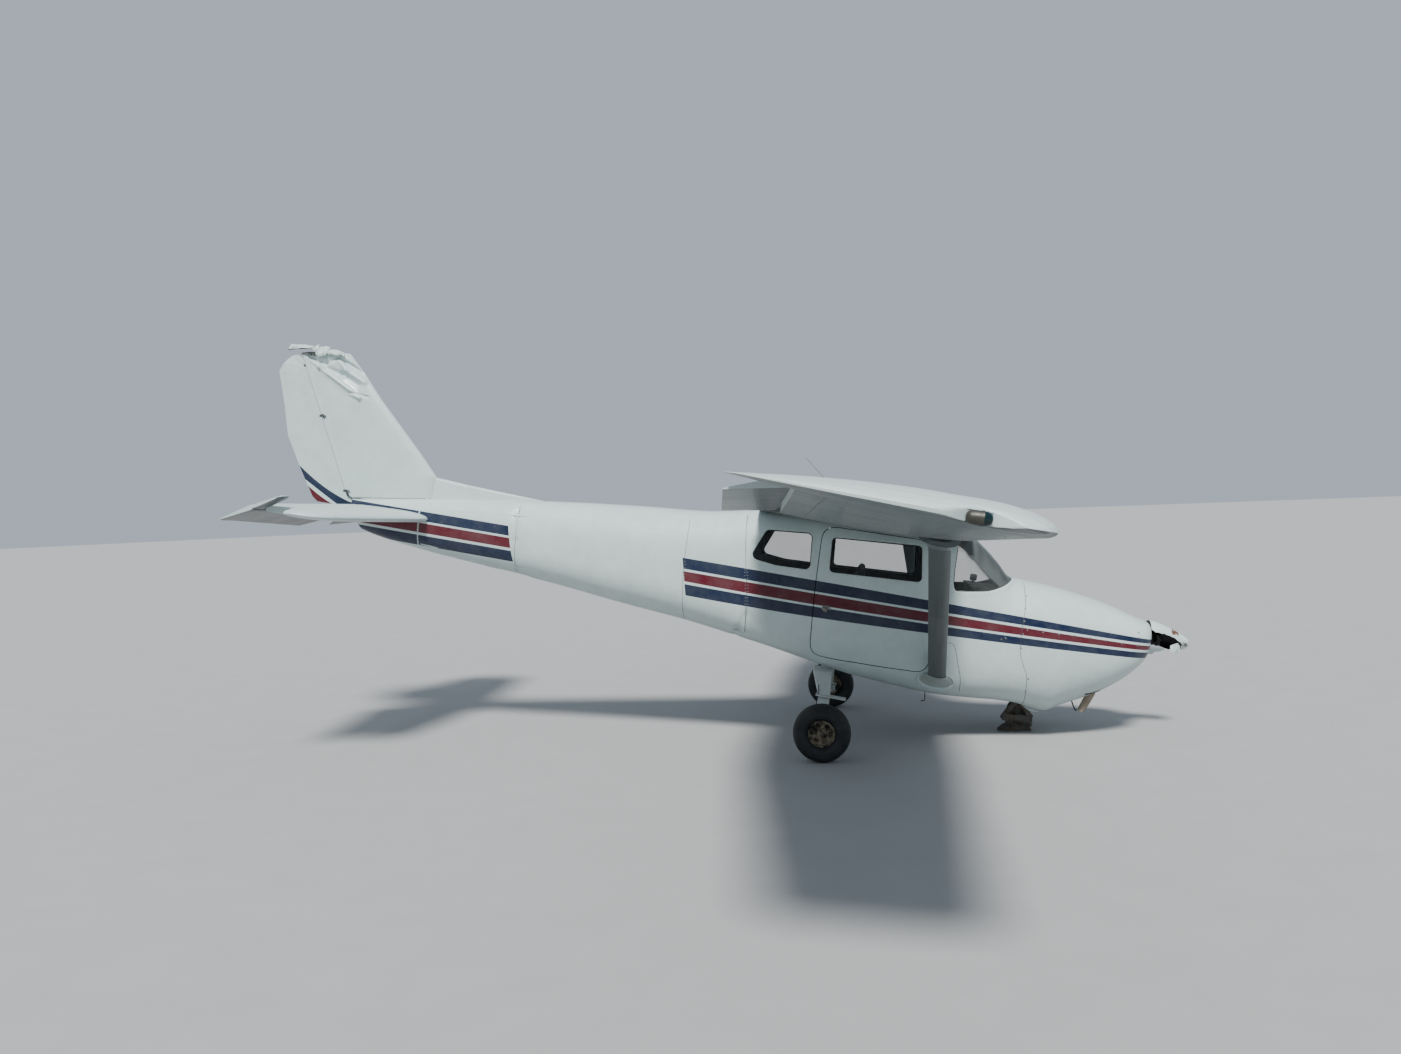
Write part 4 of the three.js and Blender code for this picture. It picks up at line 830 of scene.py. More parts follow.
def onto_wing(p):
    """Points of the stepped wing moved up or down to the true section, with a round nose."""
    part, lead, trail, y = wing_part(p)
    within = np.clip(part, 0, last_step)
    line, _ = wing_lift(within, np.ones(len(p)), y, True)
    side = np.where(p[:, 2] >= line, 1.0, -1.0)
    first = chord_steps[1]
    smooth_part = np.where(part < first, np.clip(part, 0, 1) ** 2 / first, part)
    flat = wing_lift(within, side, y, True)[1]
    true = wing_lift(np.clip(smooth_part, 0, last_step), side, y, False)[1]
    inner = y < tip_y
    ratio = np.where(np.abs(flat) > 1, true / np.where(np.abs(flat) > 1, flat, 1), 1)
    z = line + (p[:, 2] - line) * np.where(inner, ratio, 1)
    on_skin = np.abs(p[:, 2] - line) > 0.97 * np.abs(flat)
    x = np.where(inner & on_skin, lead - smooth_part * (lead - trail), p[:, 0])
    # The tip's side is let in for the navigation light, which stands half out of it
    niche_x, niche_length, niche_depth, wing_end, soft = -1048, 100, 54, 5509, 5
    edge = wing_end - niche_depth * np.exp(-((x - niche_x) / niche_length) ** 2)
    tip = np.minimum(y - soft * np.log1p(np.exp(np.clip((y - edge) / soft, -30, 30))), wing_end + 2)
    return np.stack([x, tip * np.sign(p[:, 1]), z], 1)


def wing_measure(p):
    """Edges count for more near the round nose and along the tip cap."""
    part, _, _, y = wing_part(p)
    along = y / 70 + np.maximum(y - tip_y, 0) / 28
    return np.stack([np.sqrt(np.clip(part, 0, 1)) * 90, along, p[:, 2] / 70], 1)


def wing_surface(x, y, side):
    """Points of the smooth wing's upper or lower skin, and their normals."""
    def height(x, y):
        part = wing_part(np.stack([x, y], 1))[0]
        line, lift = wing_lift(np.clip(part, 0, last_step), np.full(len(x), float(side)), y, False)
        return line + lift

    slope = [(height(x + dx, y + dy) - height(x - dx, y - dy)) / 10 for dx, dy in ((5, 0), (0, 5))]
    normal = np.stack([-slope[0], -slope[1], np.ones(len(x))], 1) * side
    return np.stack([x, y, height(x, y)], 1), unit(normal)


def painted_shade_below(start, sockets, place, x, y, share, shaded_nose):
    """Adds a grey painted shade on faces that look down, deeper in streaks that run with the air and lighter
    in smears of painted reflection, and on the ends and noses inside the flap and aileron bays."""
    drawn = start.node("ShaderNodeMapping", None, {"Vector": place, "Scale": (1.2, 14.0, 3.0)})
    streak = start.noise(drawn, 2.0, 5.0, 0.6).above(0.56, 0.3) * 0.20
    painted_reflection_smears = start.noise(drawn, 1.1, 6.0, 0.6).above(0.53, 0.30)
    normal = start.node("ShaderNodeTexCoord", out="Normal")
    up = start.node("ShaderNodeSeparateXYZ", None, {0: normal}, out="Z")
    noses = up.also("X").above(0.35, 0.3) * (1 - up.above(0.75, 0.15))
    ends = (up.also("Y") * up.also("Y")).above(0.5, 0.2) + noses * shaded_nose
    inboard_of_tip, on_wing = 1 - (y * y).above(26, 1), x.above(-3, 0.1)
    # Mask of the painted shade: faces that look down, and the ends and noses inside the bays.
    below = (1 - up.above(-0.16, 0.46)) + ends * inboard_of_tip * on_wing
    # The grey of the painted shade, lighter in smears of painted reflection.
    darkening = painted_reflection_smears.pick((0.050, 0.058, 0.062, 1), (0.115, 0.128, 0.130, 1))
    sockets["Base Color"] = (streak * below + below * share).math("MINIMUM", 0.95).pick(
        sockets["Base Color"], darkening)


def wing_paint(start):
    x, y, z, place = airframe_place(start)
    sockets = worn_paint(start, place, z, white_paint)
    painted_shade_below(start, sockets, place, x, y, 0.76, 0)
    return sockets


wing_finish = finish_of("wing_paint", wing_paint)
for word in ("left", "right"):
    dressed(f"wing_{word}", wing_finish, "body_paint", wing_measure, onto_wing, 50)
dressed("cabin_roof", wing_finish, "body_paint", lambda p: p / 60, sharp=28)
rib_places = [640, 1020, 1400, 1780, 2160, 2520, 2900, 3290, 3680, 4070, 4460, 4850, 5240]


def wing_rivets():
    """Rivets along both spars and every rib, above and below, ahead of the flap and aileron bays."""
    places = []
    for y in rib_places:
        _, (lead,), (trail,), _ = wing_part(np.array([[0.0, y]]))
        x = np.arange(lead - 90, lead - (lead - trail) * 0.74, -38.0)
        places.append(np.stack([x, np.full(len(x), float(y))], 1))
    y = np.arange(600.0, 5250, 32)
    _, lead, trail, _ = wing_part(np.stack([y, y], 1))
    places += [np.stack([lead - (lead - trail) * part, y], 1) for part in (0.30, 0.68)]
    flat = np.vstack(places)
    return joined([studs(*wing_surface(flat[:, 0], flat[:, 1], s), 2.4, 0.9, 6) for s in (1, -1)])


for side, word in both_sides:
    as_piece(f"wing_rivets_{word}", *wing_rivets(), wing_finish, "airframe", "body_paint", 60, side)

# Fuel caps: a bare metal cap with a lever on top of each wing, over its tank in the root.
for side, word in both_sides:
    (centre,), _ = wing_surface(np.array([-1010.0]), np.array([880.0]), 1)
    turn = round_angles(40)
    rings = [centre + np.stack([r * np.cos(turn), r * np.sin(turn), np.full(40, h)], 1) for r, h in
             ((46, -6), (46, 3), (43, 5), (40, 5), (38, 8), (20, 9.5), (1, 10))]
    lever = [np.array([[-30, a, 8 + b] for a, b in ((-7, 0), (7, 0), (7, 5), (-7, 5))]) + centre,
             np.array([[30, a, 9 + b] for a, b in ((-5, 0), (5, 0), (5, 5), (-5, 5))]) + centre]
    cap = joined([skinned(rings), skinned(lever)])
    as_piece(f"fuel_cap_{word}", *cap, screw_finish, "airframe", "bare_steel", 30, side)

# Flaps, ailerons and elevators: thin skins stiffened by pressed beads that run with the air.


def beaded_paint(start):
    """White paint on sheet with a bead every 92 mm of span, and painted shade below."""
    x, y, z, place = airframe_place(start)
    sockets = worn_paint(start, place, z, white_paint)
    bead_pitch = 0.092
    bead = (y * (2 * math.pi / bead_pitch)).math("COSINE").above(0.80, 0.25)
    wave = start.noise(place, 5.5, 2.0, 0.4) * 0.5
    sockets["Normal"] = (bead * 0.32 + wave).bump(0.011, 0.7)
    painted_shade_below(start, sockets, place, x, y, 0.90, 1)
    return sockets


beaded_finish = finish_of("beaded_paint", beaded_paint)
for word in ("left", "right"):
    for node in ("flap", "aileron", "elevator"):
        dressed(f"{node}_{word}", beaded_finish, "body_paint", lambda p: p / 60, sharp=32)

# Fin and dorsal fillet: riveted sheet on two spars, painted. The fin's top is crushed and folded
# to the left, with sharp ridges across its right skin and a torn corner at the rudder.
hinge_low, hinge_high = (-5974.0, 1069.0), (-6615.0, 2330.0)


def hinge_x(z):
    """Place of the rudder's hinge line at a height."""
    (x0, z0), (x1, z1) = hinge_low, hinge_high
    return x0 + (z - z0) * (x1 - x0) / (z1 - z0)


# From x, z to x, z, then half width and depth. Negative depth stands out as a ridge.
fin_dents = [
    (-6599, 2330, -6429, 2241, 16, -14), (-6429, 2241, -5992, 2014, 20, -22),  # long crest
    (-6253, 2322, -6161, 2241, 18, -14), (-6161, 2241, -5982, 2160, 22, -18),  # short crest
    (-6366, 2236, -6205, 2200, 28, 20), (-6205, 2200, -6039, 2122, 26, 18),  # hollow between them
    (-6530, 2306, -6386, 2280, 24, 18), (-6376, 2284, -6282, 2342, 22, 16),  # fold under the top edge
    (-6268, 2346, -6025, 2244, 18, 18), (-6240, 2374, -6005, 2268, 20, -10),
    (-6310, 2120, -6120, 2010, 60, 9), (-6097, 2050, -5927, 2032, 11, 14),
    (-6097, 2032, -5992, 2006, 10, -9),
    (-6180, 1960, -6060, 1870, 80, 4), (-6100, 1500, -5900, 1250, 120, 3),
]
fin_outline = np.array([[0, 0], [0.03, 0.42], [0.12, 0.8], [0.35, 1], [0.7, 0.86], [1, 0.62]])


def blade_share(part, outline):
    """Thickness of a blade as a share of its greatest, smoothed through the outline's corners."""
    return smooth_through(np.sqrt(outline[:, 0]), outline[:, 1:], np.sqrt(np.clip(part, 0, 1)))[:, 0]


def blade_nose(part, lift, outline):
    """A blade's share of chord and thickness with the outline's corners smoothed and its nose round."""
    first = outline[1, 0]
    true_part = np.where(part < first, np.clip(part, 0, 1) ** 2 / first, part)
    flat = np.interp(part, outline[:, 0], outline[:, 1])
    true = blade_share(true_part, outline)
    return true_part, lift * np.where(flat > 0.02, true / np.maximum(flat, 0.02), 1)


# Height, leading edge and half thickness of the fin, and half thickness of the rudder's nose
fin_table = np.array([[1120, -5150, 62], [1412, -5190, 58], [1588, -5357, 55],
                      [2024, -5804, 45], [2225, -5997, 39], [2410, -6184, 33]], float)
rudder_table = np.array([[1030, 30], [1069, 34], [1313, 33], [1582, 31],
                         [1849, 28], [2154, 25], [2300, 20]], float)
fin_spar_ahead = 48  # of the hinge line


def fin_chord(x, z):
    """Share of the fin's chord behind the leading edge at a place, and both ends of the chord."""
    trail = hinge_x(z) + fin_spar_ahead
    lead = np.interp(z, *fin_table[:, :2].T)
    return np.clip((lead - x) / (lead - trail), 0, 1), lead, trail


def onto_fin(p):
    """Fin points with a round nose, pressed in on the right and half as much out on the left."""
    part, lead, trail = fin_chord(p[:, 0], p[:, 2])
    true_part, y = blade_nose(part, p[:, 1], fin_outline)
    x = np.where(part < 0.999, lead - true_part * (lead - trail), p[:, 0])
    dent = pressed_in(x, p[:, 2], fin_dents) * np.clip(part / 0.06, 0, 1)
    y = y + dent * np.where(p[:, 1] < -1, 1, 0.55)
    crush = np.clip((p[:, 2] - 2200 + 0.52 * np.clip(x + 6430, 0, 400)) / 230, 0, 1)
    return np.stack([x, y + crush * (22 + 5 * np.sin(x / 70)), p[:, 2]], 1)


dressed("fin", white_finish, "body_paint", lambda p: np.column_stack(
    [p[:, :2] / 9, p[:, 2] / 34 + np.maximum(p[:, 2] - 1950, 0) / 12]), onto_fin, 70)
dressed("dorsal_fillet", white_finish, "body_paint", lambda p: p / 40, sharp=50)

# Lips: the fin's skins run on past its rear spar, over the rudder's nose, cut away at each hinge.


def fin_lip(z0, z1):
    """One side's lip between two heights: outer skin, rolled edge and inner skin."""
    z = np.linspace(z0, z1, 24)[:, None]
    base = np.interp(z, fin_table[:, 0], fin_table[:, 2]) * fin_outline[-1, 1]
    edge = np.interp(z, *rudder_table.T) + 2.6
    half_way = (base + edge) / 2
    x = hinge_x(z) + np.array([[56, 30, 12, 4, 4, 30, 56]])
    y = np.concatenate([base + 0.4, half_way + 1, edge + 1.4, edge + 1.2, edge, half_way - 0.4, base - 1], 1)
    points = np.stack([x, y, np.broadcast_to(z, x.shape)], -1)
    return points.reshape(-1, 3), grid_faces(24, 7)


lips = joined([fin_lip(low, high) for low, high in ((1125, 1150), (1180, 1788), (1818, 2352))])
# A dark cord along each lip's edge is the painted shadow of the gap over the rudder's nose; the hinge brackets
# share its dark finish.
gap_shadow_rings = [[(hinge_x(z) + 5 + a, np.interp(z, *rudder_table.T) + 3.4 + c, z)
              for a, c in ((-1.8, -1), (1.8, -1), (1.4, 0.9), (-1.4, 0.9))]
             for z in np.linspace(1128, 2350, 120)]
brackets = [(-6325, 1806, 8, 19, 38), (-5992, 1147, 10, 26, 44)]  # x, z, half width, half height, y
straps = [skinned([[(x + a - b * 0.51, y, z + b) for a, b in ((-w, -h), (w, -h), (w, h), (-w, h))]
                   for y in (depth - 4, depth + 1.5)]) for x, z, w, h, depth in brackets]
for side, word in both_sides:
    as_piece(f"fin_lips_{word}", *lips, white_finish, "airframe", "body_paint", 50, side)
    as_piece(f"rudder_gap_shadow_and_brackets_{word}", *joined([skinned(gap_shadow_rings), *straps]), seam_finish, "airframe",
             "black_trim", 30, side)

# Fin seams: a dark seam along the fin's foot, and rivets along the foot, one rib and both spars.


def fin_half(x, z):
    """Half thickness of the fin at a place of the side view."""
    return np.interp(z, fin_table[:, 0], fin_table[:, 2]) * blade_share(fin_chord(x, z)[0], fin_outline)


fin_foot = spaced([(-5929, 1118), (-5579, 1163), (-5205, 1217)], 60, False)
fin_rib = spaced([(-6120, 1500), (-5330, 1500)], 40, False)
fin_spar = spaced([(-5990, 1200), (-6520, 2240)], 52, False)
nose_spar = spaced([(-5420, 1230), (-5850, 1950)], 34, False)
for side, word in both_sides:
    rows = np.stack([np.column_stack([fin_foot[:, 0], fin_half(*fin_foot.T) + lift, fin_foot[:, 1] + step])
                     for step, lift in ((-2.6, -0.5), (-1.6, 0.7), (1.6, 0.7), (2.6, -0.5))])
    as_piece(f"fin_foot_seam_{word}", rows.reshape(-1, 3), grid_faces(4, 60), seam_finish, "airframe",
             "black_trim", 60, side)
    flat = np.vstack([fin_foot + (0, 14), fin_rib, fin_spar, nose_spar])
    flat = flat[flat[:, 1] < 2150]
    dent = pressed_in(*flat.T, fin_dents) * (-1 if side < 0 else 0.55)
    points = np.column_stack([flat[:, 0], fin_half(*flat.T) + dent + 0.3, flat[:, 1]])
    rivets = studs(points, np.tile([0.0, 1.0, 0.0], (len(points), 1)), 2.3, 0.9, 6)
    as_piece(f"fin_rivets_{word}", *rivets, white_finish, "airframe", "body_paint", 60, side)

# What is left of the fin's cap: torn painted sheet, crumpled over the top rib, with one flange
# that lies back over the rudder. Edges are bare and dirty where the paint broke off.


def torn_paint(start):
    _, _, z, place = airframe_place(start)
    sockets = worn_paint(start, place, z, white_paint)
    bare = start.noise(place, 34.0, 5.0, 0.7).above(0.62, 0.06)
    dirt_and_shade = start.noise(place, 14.0, 6.0, 0.7).above(0.60, 0.12) * 0.7
    colour = bare.pick(sockets["Base Color"], (0.30, 0.30, 0.29, 1))
    sockets["Base Color"] = dirt_and_shade.pick(colour, (0.07, 0.055, 0.04, 1))
    sockets["Roughness"] = sockets["Roughness"] + dirt_and_shade * 0.3
    return sockets


torn_finish = finish_of("torn_paint", torn_paint)


def plate(outer, thickness):
    """A closed sheet: a grid of points, the same grid set back along its normals, and its rims."""
    outer = np.asarray(outer, float)
    rows, columns = outer.shape[:2]
    normal = np.cross(np.gradient(outer, axis=0), np.gradient(outer, axis=1))
    normal /= np.maximum(np.linalg.norm(normal, axis=-1, keepdims=True), 1e-9)
    inner = outer - normal * thickness
    faces, count = grid_faces(rows, columns), rows * columns
    i, j = np.arange(rows - 1), np.arange(columns - 1)
    edges = np.concatenate([
        np.stack([j, j + 1], 1), np.stack([j + 1, j], 1) + (rows - 1) * columns,
        np.stack([(i + 1) * columns, i * columns], 1), np.stack([i, i + 1], 1) * columns + columns - 1])
    a, b = edges.T
    rim = np.concatenate([np.stack([a, b, b + count], 1), np.stack([a, b + count, a + count], 1)])
    points = np.vstack([outer.reshape(-1, 3), inner.reshape(-1, 3)])
    return points, turned_out(points, np.concatenate([faces, faces[:, ::-1] + count, rim[:, ::-1]]))


def torn_sheet(low, high, y_low, y_high, wave, bulge=0.0):
    """A sheet between two lines of the side view, at its own depth along each, with a wave and a bulge."""
    u, v = np.linspace(0, 1, 48)[:, None], np.linspace(0, 1, 16)[None]
    first, last = (spaced(line, 48, False)[:, None] for line in (low, high))
    side_view = first * (1 - v[..., None]) + last * v[..., None]
    y = y_low + (y_high - y_low) * v ** 1.6 - bulge * np.sin(v * np.pi) + wave * np.sin(u * 11 + v * 5)
    ragged = wave * 0.6 * (np.sin(u * 37) + 0.6 * np.sin(u * 83)) * (1 - v)
    return plate(np.stack([side_view[..., 0], y, side_view[..., 1] + ragged], -1), 1.6)


strip = torn_sheet([(-6749, 2360), (-6641, 2384), (-6541, 2395)],
                   [(-6752, 2414), (-6618, 2426), (-6520, 2424)], -30, 12, 2.0)
barb = torn_sheet([(-6541, 2393), (-6512, 2384), (-6466, 2362)],
                  [(-6524, 2404), (-6490, 2436), (-6470, 2444)], -28, -6, 4.0, 6)
crumple = torn_sheet([(-6478, 2350), (-6442, 2330), (-6370, 2350)],
                     [(-6463, 2424), (-6410, 2436), (-6366, 2434)], -46, 4, 5.0, 8)
crown_right = torn_sheet([(-6368, 2366), (-6290, 2362), (-6188, 2360)],
                         [(-6360, 2412), (-6304, 2418), (-6213, 2396)], -40, 4, 1.5, 12)
crown_left = torn_sheet([(-6213, 2370), (-6290, 2366), (-6368, 2370)],
                        [(-6213, 2396), (-6304, 2418), (-6360, 2412)], 44, 4, 1.5, -12)
cap = joined([strip, barb, crumple, crown_right, crown_left])
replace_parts(as_piece("fin_cap_torn", *cap, torn_finish, "airframe", "body_paint", 60), "fin_cap")
# Painted shade in the open mouth of the tear, and painted shadow under the flange: dark sheets laid on the
# fin's skin
mouth = torn_sheet([(-6626, 2336), (-6560, 2330), (-6476, 2334)],
                   [(-6604, 2352), (-6550, 2364), (-6478, 2370)], -31, -27, 0.6)
shadow_under_strip = torn_sheet([(-6752, 2353), (-6641, 2378), (-6536, 2388)],
                         [(-6750, 2362), (-6641, 2387), (-6536, 2398)], -32, -31, 1.0)
as_piece("fin_cap_mouth_shade", *joined([mouth, shadow_under_strip]), seam_finish, "airframe", "black_trim", 60)

# Rudder: painted sheet with a banded foot, dished and wrinkled where the fin was struck.
rudder_dents = [
    (-6690, 2285, -6600, 2120, 26, 5), (-6760, 2210, -6700, 1950, 30, -4),
    (-6640, 2120, -6560, 1960, 40, 4),
    (-6600, 2330, -6540, 2180, 14, -5), (-6560, 1900, -6480, 1560, 60, 3),
    (-6700, 1900, -6640, 1600, 24, -3),
]
# Band edges on the rudder: navy top and bottom, maroon top and bottom, as height over x in metres
rudder_bands = [np.polyfit(x, z, 2) for x, z in (
    ((-6.492, -6.272, -6.058, -5.954), (1.318, 1.190, 1.099, 1.073)),
    ((-6.445, -6.328, -6.153, -6.099), (1.216, 1.157, 1.066, 1.041)),
    ((-6.398, -6.257, -6.169, -6.000), (1.155, 1.085, 1.036, 0.985)),
    ((-6.350, -6.257, -6.169, -6.000), (1.040, 0.985, 0.940, 0.890)),
)]


def rudder_paint(start):
    x, _, z, place = airframe_place(start)
    edges = [curve_of(x, terms) for terms in rudder_bands]
    navy = z.between(edges[1], edges[0], blur).pick(white_paint, navy_paint)
    return worn_paint(start, place, z, z.between(edges[3], edges[2], blur).pick(navy, maroon_paint))


def onto_rudder(p):
    """Rudder points dented behind the hinge line, and its closed top rounded up toward the middle."""
    behind = np.clip((hinge_x(p[:, 2]) - p[:, 0] - 40) / 60, 0, 1)
    thin = np.clip((p[:, 0] + 6850) / 60, 0.2, 1)
    dent = pressed_in(p[:, 0], p[:, 2], rudder_dents) * behind * thin
    wave = 1.6 * np.sin(p[:, 2] / 61 + p[:, 0] / 90) * behind * thin
    crown = (36 * np.clip((p[:, 2] - 2130) / 130, 0, 1)
             * np.sin(np.pi * np.clip((p[:, 0] + 6830) / 215, 0, 1)))
    return p + np.stack([np.zeros(len(p)), dent + wave, crown], 1)


dressed("rudder", finish_of("rudder_paint", rudder_paint), "body_paint", lambda p: p / 28, onto_rudder, 35)

# Tailplane: a riveted sheet blade on each side with a rounded tip, bolted through the tailcone.
tail_outline = np.array([[0, 0], [0.02, 0.4], [0.1, 0.78], [0.35, 1], [0.7, 0.9], [1, 0.72]])
tail_leads = np.array([[20, -5128], [1500, -5299], [1640, -5354], [1700, -5434], [1725, -5534]], float)
tail_trail, tail_height = -5822, 1037


def onto_tailplane(p):
    """Tailplane points with a round nose, and a tip rounded through its corners."""
    y = np.abs(p[:, 1])
    lead = np.interp(y, *tail_leads.T)
    true_lead = smooth_through(tail_leads[:, 0], tail_leads[:, 1:], y)[:, 0]
    part = np.clip((lead - p[:, 0]) / (lead - tail_trail), 0, 1)
    true_part, lift = blade_nose(part, p[:, 2] - tail_height, tail_outline)
    x = np.where((part > 0) & (part < 0.999), true_lead - true_part * (true_lead - tail_trail), p[:, 0])
    return np.stack([np.where(part <= 0, true_lead, x), p[:, 1], tail_height + lift], 1)


spar_y = np.linspace(240, 1560, 48)
tail_rivets = np.vstack(
    [np.stack([np.linspace(-5250, -5790, 24), np.full(24, y)], 1) for y in (420.0, 760, 1100, 1440)]
    + [np.stack([x - 0.05 * spar_y, spar_y], 1) for x in (-5330.0, -5700.0)])
lead = np.interp(tail_rivets[:, 1], *tail_leads.T)
lift = np.interp(tail_rivets[:, 1], (20, 1500, 1640), (46, 36, 28)) * blade_share(
    (lead - tail_rivets[:, 0]) / (lead - tail_trail), tail_outline) + 0.2
rivets = joined([studs(np.column_stack([tail_rivets, tail_height + s * lift]),
                       np.tile([0.0, 0.0, s], (len(lift), 1)), 2.2, 0.9, 6) for s in (1.0, -1.0)])
for side, word in both_sides:
    dressed(f"tailplane_{word}", white_finish, "body_paint", lambda p: p / 36, onto_tailplane, 35)
    as_piece(f"tailplane_rivets_{word}", *rivets, white_finish, "airframe", "body_paint", 60, side)

# Wing struts and their lower fairings: one streamlined tube on each side, in dull grey paint, with
# a sheet metal cuff screwed round its foot.
foot, head = np.array([-664.0, 545, 478]), np.array([-950.0, 2500, 1580])
half_chord, half_thick = 68.5, 24
strut_run = unit(head - foot)
strut_chordwise = unit(np.array([1.0, 0, 0]) - strut_run * strut_run[0])
strut_across = np.cross(strut_run, strut_chordwise)


def strut_paint(start):
    _, _, z, place = airframe_place(start)
    sockets = worn_paint(start, place, z, (0.120, 0.140, 0.140, 1), 0.45)
    drawn = start.node("ShaderNodeMapping", None, {"Vector": place, "Scale": (30, 2, 2)})
    streak = start.noise(drawn, 1.0, 5.0, 0.6)
    upper = z.above(1.02, 0.01) * 0.35
    sockets["Base Color"] = (streak.above(0.55, 0.1) * 0.25 + upper).pick(
        sockets["Base Color"], (0.075, 0.090, 0.092, 1))
    return sockets


strut_finish = finish_of("strut_paint", strut_paint)


def strut_ring(t, chord=half_chord, thick=half_thick):
    """Teardrop ring round the strut's axis: a blunt nose ahead and a thin tail behind."""
    turn = round_angles(56)
    u, v = np.cos(turn), np.sin(turn) * (0.80 + 0.20 * np.cos(turn))
    return (foot + (head - foot) * t + u[:, None] * chord * strut_chordwise
            + v[:, None] * thick * strut_across)


def collar(start, end, lift):
    """A thin sleeve round the strut between two shares of its length."""
    return skinned([strut_ring(t, half_chord + g, half_thick + g)
                    for t, g in ((start, -1), (start, lift), (end, lift), (end, -1))])


cuff_x, cuff_z = -666, 446


def cuff_paint(start):
    """White paint with a mottled grey painted shade in the dish, where the flare lies in the strut's shade."""
    x, _, z, place = airframe_place(start)
    sockets = worn_paint(start, place, z, white_paint)
    across, up = (x - cuff_x / 1000) / 0.14, (z - cuff_z / 1000) / 0.067
    dish = 1 - (across * across + up * up).above(0.84, 0.08)
    # Painted shade in the dish inside the rim, mottled by noise.
    dirt_and_shade = (start.noise(place, 14.0, 6.0, 0.6) * 0.5 + 0.3) * dish
    sockets["Base Color"] = dirt_and_shade.pick(sockets["Base Color"], (0.20, 0.21, 0.19, 1))
    return sockets


cuff_finish = finish_of("cuff_paint", cuff_paint)
for side, word in both_sides:
    tube = skinned([strut_ring(t) for t in np.linspace(0.0, 0.998, 40)])
    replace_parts(as_piece(f"strut_tube_{word}", *tube, strut_finish, "airframe", "strut_paint", 40, side),
                f"strut_{word}")
    band = joined([collar(0.464, 0.476, 1.2), collar(0.923, 0.947, 1.2)])
    as_piece(f"strut_bands_{word}", *band, strut_finish, "airframe", "strut_paint", 40, side)
    # Sheet fairing where the strut enters the wing
    head_rings = [strut_ring(t, c, h) for t, c, h in
                  ((0.948, 69, 25), (0.950, 72, 28), (0.968, 80, 34), (0.984, 98, 46), (0.998, 124, 66))]
    as_piece(f"strut_head_{word}", *skinned(head_rings), wing_finish, "airframe", "body_paint", 40, side)
    # The cuff flares from the strut to a rolled rim on the fuselage side
    turn = round_angles(56)
    rims = [side_point(cuff_x + s * 140 * np.cos(turn), cuff_z - s * 67 * np.sin(turn),
                       np.full(56, float(off))) for s, off in
            ((0.99, -4), (1.03, 4), (1.03, 13), (1.0, 17), (0.975, 14), (0.94, 5))]
    mouth = strut_ring(0.012, 73, 28)
    flare = [rims[-1] * (1 - s) + mouth * s - np.array([0, 6 * math.sin(math.pi * s), 0])
             for s in (0.2, 0.4, 0.6, 0.8, 1.0)]
    cuff = skinned([*rims, *flare, strut_ring(0.008, 60, 18)])
    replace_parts(as_piece(f"strut_cuff_rim_{word}", *cuff, cuff_finish, "airframe", "body_paint", 50, side),
                f"strut_cuff_{word}")
    # A dark collar where the strut enters the cuff is the painted shadow of the gap.
    as_piece(f"strut_foot_gap_shadow_{word}", *collar(0.011, 0.0165, 2), seam_finish, "airframe",
             "black_trim", 50, side)
    # Screws stand round the cuff on the fuselage side skin
    turn = round_angles(14) + 0.2
    points = side_point(cuff_x + 131 * np.cos(turn), cuff_z + 59 * np.sin(turn), np.full(14, 4.0))
    as_piece(f"cuff_screws_{word}", *studs(points, body_normal(points), 4.0, 1.5), screw_finish, "airframe",
             "bare_steel", 60, side)

# Navigation lights: a bronze grey housing along each wing tip with a coloured glass dome in front.
lamp_place = np.array([-1063.0, 5478, 1716])


def spun(profile, centre, axis, columns=48, closed=False):
    """A profile of (radius, distance along the axis) turned round an axis."""
    axis = unit(np.asarray(axis, float))
    one = unit(np.cross(axis, (0.17, 0.31, 0.94)))
    turn = round_angles(columns)[:, None]
    circle = one * np.cos(turn) + np.cross(axis, one) * np.sin(turn)
    return skinned(np.stack([np.asarray(centre) + axis * a + circle * r for r, a in profile]), closed)


bronze_finish = mottled("worn_bronze", (40.0, 6.0, 0.6), (0.040, 0.040, 0.036), (0.095, 0.090, 0.078),
                        (0.35, 0.28), Metallic=0.6)
glassy = {"Coat Weight": 0.2, "Specular IOR Level": 0.3}
green_finish = mottled("green_glass", (60.0, 4.0), (0.001, 0.012, 0.015), (0.0016, 0.0192, 0.024),
                       (0.12, 0.06), **glassy)
red_finish = mottled("red_glass", (60.0, 4.0), (0.14, 0.004, 0.004), (0.224, 0.0064, 0.0064),
                     (0.12, 0.06), **glassy)
for side, word, lens, slot in ((1, "left", red_finish, "red_lens"),
                               (-1, "right", green_finish, "green_lens")):
    case = spun([(2, -44), (12, -42), (18, -37), (21.5, -28), (23.5, -14), (24.6, 4),
                 (25.6, 6), (25.6, 12), (24.6, 13)],
                lamp_place, (1, 0, 0))
    dome = spun([(24.2, 13.2), (24, 22), (21.5, 31), (16, 38), (8, 41.4), (0.5, 42)], lamp_place, (1, 0, 0))
    housing = as_piece(f"lamp_housing_{word}", *case, bronze_finish, "airframe", slot, 40, side)
    glass = as_piece(f"lamp_glass_{word}", *dome, lens, "airframe", slot, 60, side)
    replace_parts(housing, f"nav_light_{word}")
    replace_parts(glass, f"nav_light_{word}")

